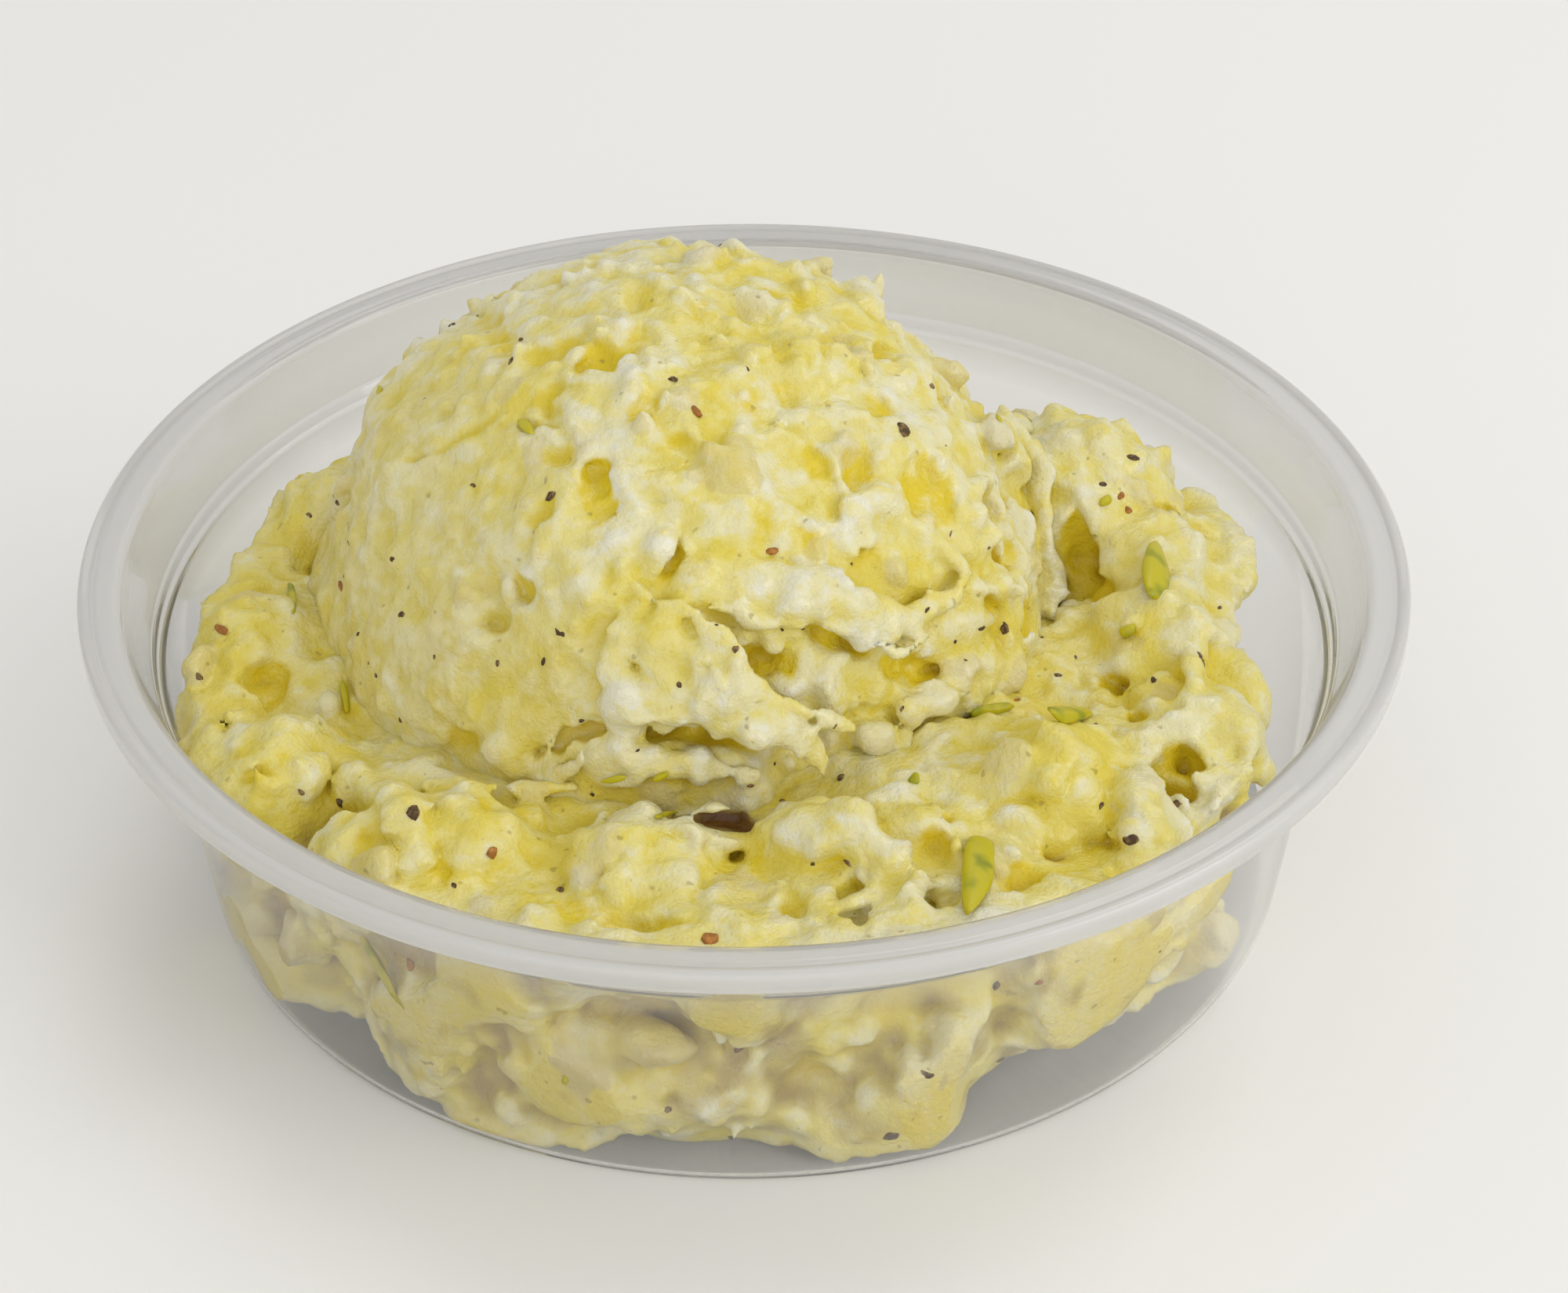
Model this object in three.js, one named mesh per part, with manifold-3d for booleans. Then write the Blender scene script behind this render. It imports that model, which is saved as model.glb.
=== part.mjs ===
// A cup of potato salad: a clear thin-walled plastic tub, filled to its front wall and topped with
// one big scoop whose front is torn into lips. Millimetres, +Z up. The origin is the middle of the
// tub's foot, and the torn front of the scoop faces -Y.
import * as THREE from "three";
import { mergeVertices } from "three/addons/utils/BufferGeometryUtils.js";
import Module from "manifold-3d";

// Tub: a round pressed cup with a flat foot, a stacking shoulder and a flat flange with a lip.
const rimRadius = 58.5;
const tubHeight = 30.5;
const wallThickness = 0.7;
const flangeWidth = 3.4;
const flangeThickness = 0.7;
const lipDrop = 1.7;
const lipThickness = 0.6;
const footRadius = 48.2;
const footFillet = 1.4;
const shoulderZ = 22.8;
const shoulderRadius = 52.2;
const shoulderStep = 1.1;
const tubSides = 64;

// Bed of salad: it fills the tub's front and is drawn back at the right and the rear.
const tubGap = 0.35;
const bedHeight = 25;
const frontRise = 1.5;
const rearDrop = 6;
const bedRelief = 1.5;
const frontEdge = 51.2;
const rearEdge = 43.6;
const frontDirection = 262;
const fullFrontTo = 50;
const drawnBackFrom = 90;
const wallLean = 0.12;
const lowestLift = 0.8;
const clearGaps = [
  { at: 226, width: 15, height: 3.2 },
  { at: 305, width: 18, height: 5 },
  { at: 20, width: 40, height: 4 },
  { at: 120, width: 50, height: 3 },
];

// Scoop of salad: a ball set left of the tub's middle.
const scoopRadius = 33.4;
const scoopCentre = new THREE.Vector3(-6, 2, 21);
const scoopRelief = 1.2;

// Uneven pieces that stand out, as half sizes, and how deep they are set.
const massRelief = 0.16;
const scoopPieces = 84;
const bedPieces = 44;
const wallPieces = 18;
const pieceSize = { small: 2.8, large: 6.4 };
const pieceStandsOut = { small: 0.7, large: 2.4 };
const pressedStandsOut = 0.4;
const pieceUnevenness = 0.16;
const goldenAngle = Math.PI * (3 - Math.sqrt(5));

const wasm = await Module();
wasm.setup();

// A repeatable random draw between 0 and 1, the mulberry32 rule.
function makeRandom(seed) {
  let state = seed;
  return () => {
    state = (state + 0x6d2b79f5) | 0;
    let t = Math.imul(state ^ (state >>> 15), 1 | state);
    t = (t + Math.imul(t ^ (t >>> 7), 61 | t)) ^ t;
    return ((t ^ (t >>> 14)) >>> 0) / 4294967296;
  };
}
const random = makeRandom(20);
const between = (low, high) => low + (high - low) * random();
const mix = (a, b, t) => a + (b - a) * t;
const clamp01 = (t) => Math.min(1, Math.max(0, t));
const smooth = (low, high, t) => {
  const s = clamp01((t - low) / (high - low));
  return s * s * (3 - 2 * s);
};

// Soft lumps with a wavelength of about 6 times the scale, between -1 and 1.
function lumps(p, scale) {
  const x = p.x / scale;
  const y = p.y / scale;
  const z = p.z / scale;
  const broad = Math.sin(x + 1.7 * Math.sin(y * 0.9)) * Math.cos(y + 1.3 * Math.sin(z * 1.1));
  const fine = Math.sin(2.1 * x + z) * Math.cos(2.3 * y - 0.7 * z + 1.9 * Math.sin(x));
  return 0.65 * broad + 0.35 * fine;
}

// A closed three.js geometry as a solid that can be joined and cut.
function solidOf(geometry) {
  const bare = geometry.clone();
  for (const name of ["normal", "uv"]) bare.deleteAttribute(name);
  const merged = mergeVertices(bare, 1e-4);
  return new wasm.Manifold(
    new wasm.Mesh({
      numProp: 3,
      vertProperties: new Float32Array(merged.attributes.position.array),
      triVerts: new Uint32Array(merged.index.array),
    }),
  );
}

function geometryOf(solid) {
  const mesh = solid.getMesh();
  const geometry = new THREE.BufferGeometry();
  geometry.setAttribute("position", new THREE.BufferAttribute(mesh.vertProperties, 3));
  geometry.setIndex(new THREE.BufferAttribute(mesh.triVerts, 1));
  return geometry;
}

function joined(solids) {
  return wasm.Manifold.union(solids);
}

// A lathe turned round Z: its profile is a list of [radius, height] from the axis and back to it.
function lathe(profile) {
  const points = profile.map(([radius, height]) => new THREE.Vector2(radius, height));
  return new THREE.LatheGeometry(points, tubSides).rotateX(Math.PI / 2);
}

// The wall's line from the foot to the flange, moved in by inset: shared by both faces of the wall
// and by the space that the salad may fill.
function wallLine(inset) {
  return [
    [footRadius - inset, inset],
    [footRadius + footFillet * 0.71 - inset, footFillet * 0.29 + inset * 0.6],
    [footRadius + footFillet - inset, footFillet + inset * 0.3],
    [shoulderRadius - inset, shoulderZ],
    [shoulderRadius + shoulderStep - inset, shoulderZ + shoulderStep * 0.8],
    [rimRadius - flangeWidth - inset, tubHeight - flangeThickness - 0.5],
  ];
}

function makeTub() {
  const flangeInner = rimRadius - flangeWidth;
  const under = tubHeight - flangeThickness;
  const outer = [[0, 0], ...wallLine(0), [flangeInner + 0.5, under]];
  const lip = [
    [rimRadius - lipThickness, under],
    [rimRadius - lipThickness, tubHeight - lipDrop],
    [rimRadius, tubHeight - lipDrop],
    [rimRadius, tubHeight - 0.4],
    [rimRadius - 0.4, tubHeight],
    [flangeInner + 0.3, tubHeight],
  ];
  const inner = [...wallLine(wallThickness).reverse(), [0, wallThickness]];
  return lathe([...outer, ...lip, ...inner]);
}

// The room inside the tub that the salad may fill, open far above the rim.
function makeRoom() {
  const inset = wallThickness + tubGap;
  const line = wallLine(inset);
  const top = line[line.length - 1];
  return solidOf(lathe([[0, inset], ...line, [top[0], 80], [0, 80]]));
}

// Degrees between two directions round the tub, up to 180.
function degreesApart(angle, direction) {
  const turned = Math.abs(THREE.MathUtils.radToDeg(angle) - direction) % 360;
  return Math.min(turned, 360 - turned);
}

// Where the bed's edge lies: on the wall at the front, drawn back at the right and the rear.
function edgeRadius(angle) {
  const drawnBack = smooth(fullFrontTo, drawnBackFrom, degreesApart(angle, frontDirection));
  return mix(frontEdge, rearEdge, drawnBack);
}

// Height of the bed's top: highest along the front wall, lowest at the rear.
function bedTop(x, y) {
  const p = new THREE.Vector3(x, y, 0);
  const rise = mix(frontRise * smooth(15, 45, -y), -rearDrop, smooth(5, 42, y));
  return bedHeight + rise + bedRelief * lumps(p, 3.4);
}

// How far the salad's side is lifted off the floor: low at the middle of the front, high in the
// clear gaps left and right of it.
function liftOff(angle) {
  const gaps = clearGaps.map(
    ({ at, width, height }) => height * Math.exp(-((degreesApart(angle, at) / width) ** 2)),
  );
  return gaps.reduce((sum, gap) => sum + gap, lowestLift);
}

// A closed skin from rings of points, first and last ring shrunk to a point: ringAt(t, angle) gives
// each point, with t from 0 at the bottom to 1 at the top.
function ringedSkin(ringCount, sideCount, ringAt) {
  const points = [ringAt(0, 0)];
  for (let i = 1; i < ringCount; i++) {
    for (let j = 0; j < sideCount; j++) {
      points.push(ringAt(i / ringCount, (j / sideCount) * 2 * Math.PI));
    }
  }
  points.push(ringAt(1, 0));
  const last = points.length - 1;
  const at = (i, j) => 1 + (i - 1) * sideCount + (j % sideCount);
  const index = [];
  for (let j = 0; j < sideCount; j++) {
    index.push(0, at(1, j + 1), at(1, j));
    index.push(last, at(ringCount - 1, j), at(ringCount - 1, j + 1));
    for (let i = 1; i < ringCount - 1; i++) {
      index.push(at(i, j), at(i, j + 1), at(i + 1, j + 1));
      index.push(at(i, j), at(i + 1, j + 1), at(i + 1, j));
    }
  }
  const geometry = new THREE.BufferGeometry().setFromPoints(points);
  geometry.setIndex(index);
  return geometry;
}

// The bed: a flat bottom, a side that leans with the wall, and a lumpy top.
function makeBed() {
  const floor = wallThickness + tubGap;
  const bottomEnd = 0.22;
  const sideEnd = 0.55;
  return ringedSkin(16, 40, (t, angle) => {
    const edge = edgeRadius(angle);
    const lift = liftOff(angle);
    const direction = new THREE.Vector2(Math.cos(angle), Math.sin(angle));
    if (t < bottomEnd) {
      const s = t / bottomEnd;
      const radius = (edge + wallLean * (floor - bedHeight) - 0.8 - 0.6 * lift) * s;
      return new THREE.Vector3(radius * direction.x, radius * direction.y, floor + lift * 0.15 * s * s);
    }
    const top = bedTop(edge * 0.96 * direction.x, edge * 0.96 * direction.y);
    if (t < sideEnd) {
      const s = (t - bottomEnd) / (sideEnd - bottomEnd);
      const z = mix(floor + lift, top - 1.5, s);
      const lean = wallLean * (z - bedHeight);
      const wobble = 0.7 * lumps(new THREE.Vector3(8 * angle, z, 3), 1.6);
      const drawnIn = (0.5 + 0.45 * lift) * (1 - smooth(0, 0.35, s));
      const radius = edge + lean - drawnIn + wobble;
      return new THREE.Vector3(radius * direction.x, radius * direction.y, z);
    }
    const s = (t - sideEnd) / (1 - sideEnd);
    const radius = edge * 0.965 * (1 - s);
    const x = radius * direction.x;
    const y = radius * direction.y;
    return new THREE.Vector3(x, y, bedTop(x, y));
  });
}

// The scoop: a ball with soft lumps, smoothest at its left where the scoop's bowl pressed it.
function makeScoop() {
  return ringedSkin(16, 32, (t, angle) => {
    const fromPole = Math.PI * (1 - t);
    const out = new THREE.Vector3(
      Math.sin(fromPole) * Math.cos(angle),
      Math.sin(fromPole) * Math.sin(angle),
      Math.cos(fromPole),
    );
    const point = out.clone().multiplyScalar(scoopRadius);
    const rough = mix(0.35, 1, smooth(-20, 4, point.x + 0.4 * point.z));
    const radius = scoopRadius + scoopRelief * rough * lumps(point, 3.1);
    return out.multiplyScalar(radius).add(scoopCentre);
  });
}

// A tongue of salad along a path, wide across the scoop and thin outwards, tapering to both ends.
function tongue(places, width, thickness) {
  const path = new THREE.CatmullRomCurve3(places.map((place) => new THREE.Vector3(...place)));
  return ringedSkin(9, 8, (t, angle) => {
    const s = clamp01(t);
    const centre = path.getPoint(s);
    const along = path.getTangent(s);
    const out = centre.clone().sub(scoopCentre).normalize();
    const across = out.clone().cross(along).normalize();
    const taper = Math.sqrt(Math.max(0, 1 - (2 * s - 1) ** 8));
    const half = (mix(width[0], width[1], s) / 2) * taper;
    const bumps = 1 + 0.18 * lumps(centre, 0.9);
    return centre
      .addScaledVector(across, half * bumps * Math.cos(angle))
      .addScaledVector(out, (thickness / 2) * taper * bumps * Math.sin(angle));
  });
}

// One uneven lump with 20 sides, stretched and turned at random unless a turn is given.
function lump(centre, sizes, turn) {
  const geometry = mergeVertices(
    new THREE.IcosahedronGeometry(1, 0).deleteAttribute("normal").deleteAttribute("uv"),
  );
  const position = geometry.attributes.position;
  const spin = turn ?? new THREE.Quaternion().setFromEuler(
    new THREE.Euler(between(0, 6), between(0, 6), between(0, 6)),
  );
  const vertex = new THREE.Vector3();
  for (let i = 0; i < position.count; i++) {
    vertex.fromBufferAttribute(position, i);
    vertex.multiplyScalar(1 + between(-pieceUnevenness, pieceUnevenness));
    vertex.multiply(new THREE.Vector3(...sizes)).applyQuaternion(spin).add(centre);
    position.setXYZ(i, vertex.x, vertex.y, vertex.z);
  }
  return geometry;
}

// Masses that stand out of the bed: [x, y, z, half sizes], at the right rear, the left and the front.
const masses = [
  [30.5, 11.5, 25.5, 9, 9.5, 9.5],
  [36.5, 2, 21.5, 6, 9, 9],
  [36.5, -8, 22, 6.5, 8, 8],
  [38, -20, 22, 6, 8, 7],
  [-42, -8, 22, 6.5, 6.5, 7],
  [-37, 11, 22, 6, 6, 8.5],
  [-40, -24, 21, 7, 7, 6.5],
  [-24, -36, 22.5, 10, 6, 6],
  [-8, -39, 22.5, 9, 6, 6],
  [10, -38, 23, 10, 7, 6.5],
  [26, -30, 23, 8, 8, 7],
];

// Tongues torn out of the scoop's front and right side: path, widths and thickness.
const tongues = [
  [[[-10.5, -25.5, 39], [-6, -29.5, 36.5], [0, -31.5, 33], [6.5, -31.8, 28.5]], [11, 4], 5],
  [[[-4, -24.5, 43], [4, -26.8, 41], [11, -25, 38], [16, -21.5, 36.5]], [6, 7], 5],
  [[[19, -14, 44], [23.5, -12, 40], [26, -10, 35], [26, -11, 29]], [6, 4], 4],
  [[[-23, -26, 34], [-20, -29.5, 30.5], [-18, -31, 28]], [8, 5], 4],
  [[[-17, -32.5, 28], [-13, -33.5, 28.5], [-8, -34, 27.5]], [5, 3], 4],
];

// Hollows: the crevice under the long tongue, the slot below it, the pocket above it, and the deep
// hollows at the right: [x, y, z, half sizes].
const hollows = [
  [-3, -31.5, 29.6, 9, 4, 2.2],
  [-1, -35.5, 25.5, 4.6, 4.5, 1.9],
  [1.5, -28.5, 37, 4.2, 3, 2.4],
  [17, -22, 32.5, 6, 4, 2.4],
  [23.5, -8.5, 38, 2.6, 4, 4.5],
  [30.5, -1, 28, 2.6, 6, 6],
];

function ball([x, y, z, ...sizes]) {
  return new THREE.IcosahedronGeometry(1, 1).scale(...sizes).translate(x, y, z);
}

// A ball with soft lumps on it, of a bit over a tenth of its size.
function lumpyBall(mass) {
  const geometry = ball(mass);
  const position = geometry.attributes.position;
  const centre = new THREE.Vector3(mass[0], mass[1], mass[2]);
  const vertex = new THREE.Vector3();
  for (let i = 0; i < position.count; i++) {
    vertex.fromBufferAttribute(position, i);
    const swell = 1 + massRelief * lumps(vertex, 2.3);
    vertex.sub(centre).multiplyScalar(swell).add(centre);
    position.setXYZ(i, vertex.x, vertex.y, vertex.z);
  }
  return geometry;
}

// Half the size of a piece: mostly small ones.
function drawHalf() {
  return mix(pieceSize.small, pieceSize.large, random() ** 1.6);
}

function drawStandsOut() {
  return between(pieceStandsOut.small, pieceStandsOut.large);
}

// Pieces all over the scoop, deeper set where the scoop's bowl pressed its left side smooth.
function scoopLumps() {
  const pieces = [];
  for (let i = 0; i < scoopPieces; i++) {
    const up = 1 - (1.25 * (i + 0.5)) / scoopPieces;
    const angle = i * goldenAngle + between(-0.2, 0.2);
    const flat = Math.sqrt(1 - up * up);
    const out = new THREE.Vector3(flat * Math.cos(angle), flat * Math.sin(angle), up);
    const pressed = smooth(0.1, 0.6, -out.x - 0.35 * out.y);
    const half = drawHalf();
    const reach = scoopRadius - half + mix(drawStandsOut(), pressedStandsOut, pressed);
    const centre = out.clone().multiplyScalar(reach).add(scoopCentre);
    pieces.push(lump(centre, [half * between(0.8, 1.3), half, half * between(0.7, 1)]));
  }
  return pieces;
}

// Pieces on the bed's top, outside the scoop.
function bedLumps() {
  const pieces = [];
  for (let i = 0; i < bedPieces; i++) {
    const angle = i * goldenAngle;
    const radius = (edgeRadius(angle) - 1.5) * Math.sqrt(mix(0.3, 1, (i + 0.5) / bedPieces));
    const half = drawHalf();
    const x = radius * Math.cos(angle);
    const y = radius * Math.sin(angle);
    const centre = new THREE.Vector3(x, y, bedTop(x, y) - half + drawStandsOut() + 0.6);
    pieces.push(lump(centre, [half * between(0.8, 1.4), half, half * between(0.7, 1)]));
  }
  return pieces;
}

// Pieces in the bed's side, which show through the wall.
function wallLumps() {
  const pieces = [];
  for (let i = 0; i < wallPieces; i++) {
    const angle = (i / wallPieces) * 2 * Math.PI;
    const half = drawHalf();
    const z = mix(liftOff(angle) + 3, bedHeight - 5, random());
    const radius = edgeRadius(angle) + wallLean * (z - bedHeight) - half + drawStandsOut();
    const centre = new THREE.Vector3(radius * Math.cos(angle), radius * Math.sin(angle), z);
    pieces.push(lump(centre, [half, half * between(0.8, 1.3), half]));
  }
  return pieces;
}

// Cut greens that show: where a ray meets the salad, half length, half width and turn in degrees.
const greens = [
  { from: "above", x: 36, y: -2, half: [2.6, 1.6, 0.9], turn: 70 },
  { from: "above", x: 18.5, y: -42, half: [4.1, 1.5, 0.9], turn: 95 },
  { from: "above", x: 26.5, y: -23, half: [1.8, 1.1, 0.8], turn: 20 },
  { from: "side", x: -41, y: -29, z: 17, half: [3.2, 1.2, 0.7], turn: 60 },
];

// Pepper flakes at the front that show best, as [x, y] seen from above, and a count of others.
const pepper = [
  [-6, -3], [-19, -6], [-5.5, -6], [-23, -15], [15, -8], [-25, -21],
  [-16, -24], [-21, -25], [0, -26], [21, -16], [-33, -33], [-27, -35],
  [-15, -42], [9, -41], [30, -34], [35, -31], [33, -37], [9.5, -34],
];
const pepperAtRandom = 20;
const pepperHalf = { small: 0.55, large: 0.85 };
const wellAbove = 90;

// Where a ray from outside first meets the salad.
function landing(target, origin, towards) {
  const ray = new THREE.Raycaster(origin, towards.clone().sub(origin).normalize());
  const hit = ray.intersectObject(target)[0];
  return hit ? { point: hit.point, normal: hit.face.normal } : null;
}

function lyingOn(hit, half, turnDegrees) {
  const flat = new THREE.Quaternion().setFromUnitVectors(new THREE.Vector3(0, 0, 1), hit.normal);
  const about = new THREE.Quaternion().setFromAxisAngle(
    new THREE.Vector3(0, 0, 1),
    THREE.MathUtils.degToRad(turnDegrees),
  );
  return lump(hit.point, half, flat.multiply(about));
}

function makeToppings(saladGeometry) {
  const target = new THREE.Mesh(saladGeometry);
  const toppings = [];
  for (const green of greens) {
    const fromAbove = green.from === "above";
    const origin = fromAbove
      ? new THREE.Vector3(green.x, green.y, wellAbove)
      : new THREE.Vector3(3 * green.x, 3 * green.y, green.z);
    const towards = new THREE.Vector3(green.x, green.y, green.z ?? 0);
    toppings.push(lyingOn(landing(target, origin, towards), green.half, green.turn));
  }
  const places = pepper.map(([x, y]) => [
    new THREE.Vector3(x, y, wellAbove),
    new THREE.Vector3(x, y, 0),
  ]);
  for (let i = 0; i < pepperAtRandom; i++) {
    const angle = i * goldenAngle;
    const out = new THREE.Vector3(Math.cos(angle), Math.sin(angle), between(0.1, 1.2));
    const towards = new THREE.Vector3(between(-10, 10), between(-10, 10), scoopCentre.z);
    places.push([out.multiplyScalar(2 * rimRadius), towards]);
  }
  for (const [origin, towards] of places) {
    const hit = landing(target, origin, towards);
    if (!hit) continue;
    const half = between(pepperHalf.small, pepperHalf.large);
    toppings.push(lyingOn(hit, [half, half * 0.75, half * 0.7], between(0, 180)));
  }
  return toppings;
}

function makeSalad() {
  const bulk = [makeBed(), makeScoop(), ...masses.map(lumpyBall)];
  const torn = tongues.map(([places, width, thickness]) => tongue(places, width, thickness));
  const pieces = [...scoopLumps(), ...bedLumps(), ...wallLumps()];
  let salad = joined([...bulk, ...pieces].map(solidOf));
  salad = salad.subtract(joined(hollows.map(ball).map(solidOf)));
  salad = joined([salad, ...torn.map(solidOf)]);
  const toppings = makeToppings(geometryOf(salad));
  salad = joined([salad, ...toppings.map(solidOf)]).intersect(makeRoom());
  const bodies = salad.decompose();
  bodies.sort((a, b) => b.volume() - a.volume());
  return geometryOf(bodies[0]);
}

function namedMesh(name, geometry, material) {
  const mesh = new THREE.Mesh(geometry, material);
  mesh.name = name;
  return mesh;
}

const clearPlastic = new THREE.MeshStandardMaterial({
  color: 0xe9e8e4,
  roughness: 0.12,
  metalness: 0,
  transparent: true,
  opacity: 0.3,
});
const saladMaterial = new THREE.MeshStandardMaterial({ color: 0xdfd48a, roughness: 0.5, metalness: 0 });

const cupOfSalad = new THREE.Group();
cupOfSalad.add(namedMesh("cup", makeTub(), clearPlastic));
cupOfSalad.add(namedMesh("potato_salad", makeSalad(), saladMaterial));

export default cupOfSalad;
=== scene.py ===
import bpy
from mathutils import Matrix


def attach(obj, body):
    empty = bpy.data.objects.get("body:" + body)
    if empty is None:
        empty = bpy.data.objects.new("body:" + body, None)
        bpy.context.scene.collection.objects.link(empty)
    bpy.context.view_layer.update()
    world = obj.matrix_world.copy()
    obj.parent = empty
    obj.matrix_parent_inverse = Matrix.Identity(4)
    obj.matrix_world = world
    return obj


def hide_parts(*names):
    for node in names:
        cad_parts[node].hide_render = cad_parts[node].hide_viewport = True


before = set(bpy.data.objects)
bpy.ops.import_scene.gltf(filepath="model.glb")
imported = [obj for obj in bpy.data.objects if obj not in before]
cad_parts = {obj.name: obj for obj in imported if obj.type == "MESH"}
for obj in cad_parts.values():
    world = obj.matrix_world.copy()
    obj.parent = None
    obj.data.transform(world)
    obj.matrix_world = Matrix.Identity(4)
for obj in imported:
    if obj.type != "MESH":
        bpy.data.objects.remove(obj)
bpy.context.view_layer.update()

import math

import bmesh
import bpy
import numpy as np
from mathutils import Vector
from mathutils.bvhtree import BVHTree

# A clear plastic cup of potato salad. Shapes are worked out in millimetres on numpy arrays and
# put into meshes in metres. The cup's foot is at z = 0 and the scoop's torn front faces -Y.
mm = 0.001

view = {
    "lens": 81.0,          # mm, on a 36 mm wide frame
    "elevation": 35.6,     # degrees above the table
    "distance": 319.4,     # mm from the aim
    "aim": (3.47, 0.0, 19.08),
    "imageSize": (2000, 1649),
}
elevation = math.radians(view["elevation"])
towardsCamera = np.array([0.0, -math.cos(elevation), math.sin(elevation)])
cameraPlace = np.array(view["aim"]) + view["distance"] * towardsCamera
pixelsPerLens = view["lens"] / 36.0 * view["imageSize"][0]


def makeCamera():
    data = bpy.data.cameras.new("camera")
    data.lens = view["lens"]
    data.sensor_width = 36.0
    data.clip_start = 0.01
    camera = bpy.data.objects.new("camera", data)
    camera.location = cameraPlace * mm
    camera.rotation_euler = (math.pi / 2 - elevation, 0, 0)
    bpy.context.scene.collection.objects.link(camera)
    bpy.context.scene.camera = camera


# direction of the sight line through one pixel of the 2000 x 1649 image
def sightLine(u, v):
    width, height = view["imageSize"]
    right = np.array([1.0, 0.0, 0.0])
    upward = np.cross(towardsCamera, right)
    line = -towardsCamera + (u - width / 2) / pixelsPerLens * right
    line = line - (v - height / 2) / pixelsPerLens * upward
    return line / np.linalg.norm(line)


def mix(a, b, t):
    return a + (b - a) * t


def smoothStep(low, high, t):
    s = np.clip((t - low) / (high - low), 0.0, 1.0)
    return s * s * (3.0 - 2.0 * s)


# points in mm and faces into a mesh object at the origin
def makeObject(name, points, faces, smooth=True):
    mesh = bpy.data.meshes.new(name)
    points = np.asarray(points, np.float32) * mm
    faces = np.asarray(faces, np.int32)
    sides = faces.shape[1]
    mesh.vertices.add(len(points))
    mesh.vertices.foreach_set("co", points.ravel())
    mesh.loops.add(faces.size)
    mesh.loops.foreach_set("vertex_index", faces.ravel())
    mesh.polygons.add(len(faces))
    mesh.polygons.foreach_set("loop_start", np.arange(len(faces), dtype=np.int32) * sides)
    mesh.polygons.foreach_set("loop_total", np.full(len(faces), sides, np.int32))
    mesh.polygons.foreach_set("use_smooth", np.full(len(faces), smooth, bool))
    mesh.update(calc_edges=True)
    mesh.validate()
    thing = bpy.data.objects.new(name, mesh)
    bpy.context.scene.collection.objects.link(thing)
    return thing


def addAttribute(thing, name, values):
    attribute = thing.data.attributes.new(name, "FLOAT", "POINT")
    attribute.data.foreach_set("value", np.asarray(values, np.float32).ravel())


# wraps a socket so that + - * / on it and on numbers add Math nodes
class Value:
    def __init__(self, maker, socket):
        self.maker = maker
        self.socket = socket

    def join(self, operation, other, swap=False):
        pair = [other, self] if swap else [self, other]
        return self.maker.node("ShaderNodeMath", {"operation": operation}, {0: pair[0], 1: pair[1]})

    def __add__(self, other):
        return self.join("ADD", other)

    def __radd__(self, other):
        return self.join("ADD", other)

    def __sub__(self, other):
        return self.join("SUBTRACT", other)

    def __rsub__(self, other):
        return self.join("SUBTRACT", other, True)

    def __mul__(self, other):
        return self.join("MULTIPLY", other)

    def __rmul__(self, other):
        return self.join("MULTIPLY", other)

    def clamp(self, low=0.0, high=1.0):
        return self.maker.node("ShaderNodeClamp", {}, {"Value": self, "Min": low, "Max": high})

    # 0 below low, 1 above high, smooth between
    def step(self, low, high):
        settings = {"interpolation_type": "SMOOTHSTEP"}
        inputs = {"Value": self, "From Min": low, "From Max": high}
        return self.maker.node("ShaderNodeMapRange", settings, inputs)


# builds one material's nodes
class Maker:
    def __init__(self, name):
        self.material = bpy.data.materials.new(name)
        self.material.use_nodes = True
        self.tree = self.material.node_tree
        self.shader = self.tree.nodes["Principled BSDF"]
        self.output = self.tree.nodes["Material Output"]

    def plug(self, socket, value):
        if isinstance(value, Value):
            self.tree.links.new(value.socket, socket)
        elif isinstance(value, (tuple, list)) and len(value) == 3 and socket.type == "RGBA":
            socket.default_value = (*value, 1.0)
        else:
            socket.default_value = value

    # any node: its type, its settings, and the values or links of its sockets
    def node(self, kind, settings, inputs, output=0):
        made = self.tree.nodes.new(kind)
        for name, setting in settings.items():
            setattr(made, name, setting)
        for name, value in inputs.items():
            self.plug(made.inputs[name], value)
        return Value(self, made.outputs[output])

    def mixColour(self, factor, a, b):
        return self.node("ShaderNodeMix", {"data_type": "RGBA"}, {0: factor, 6: a, 7: b}, 2)

    def place(self):
        return self.node("ShaderNodeTexCoord", {}, {}, 3)

    # noise between 0 and 1 with features of about size mm
    def noise(self, size, detail, roughness):
        inputs = {"Vector": self.place(), "Scale": 1.0 / (size * mm), "Detail": detail,
                  "Roughness": roughness}
        return self.node("ShaderNodeTexNoise", {}, inputs)

    def attribute(self, name):
        return self.node("ShaderNodeAttribute", {"attribute_name": name}, {}, 2)

    def bump(self, height, strength, distance):
        inputs = {"Height": height, "Strength": strength, "Distance": distance * mm}
        return self.node("ShaderNodeBump", {}, inputs)

    def set(self, **values):
        for name, value in values.items():
            self.plug(self.shader.inputs[name.replace("_", " ")], value)


# sRGB colour, as read off a screen, as the linear one that shaders take
def screenColour(red, green, blue):
    parts = [red / 255, green / 255, blue / 255]
    return tuple(p / 12.92 if p <= 0.04045 else ((p + 0.055) / 1.055) ** 2.4 for p in parts)


# Fields are negative inside and positive outside, in mm, on a grid of equal steps.
def gridAxes(low, high, step):
    return [np.arange(a, b + step, step, dtype=np.float32) for a, b in zip(low, high)]


def spread(axes):
    return axes[0][:, None, None], axes[1][None, :, None], axes[2][None, None, :]


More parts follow.
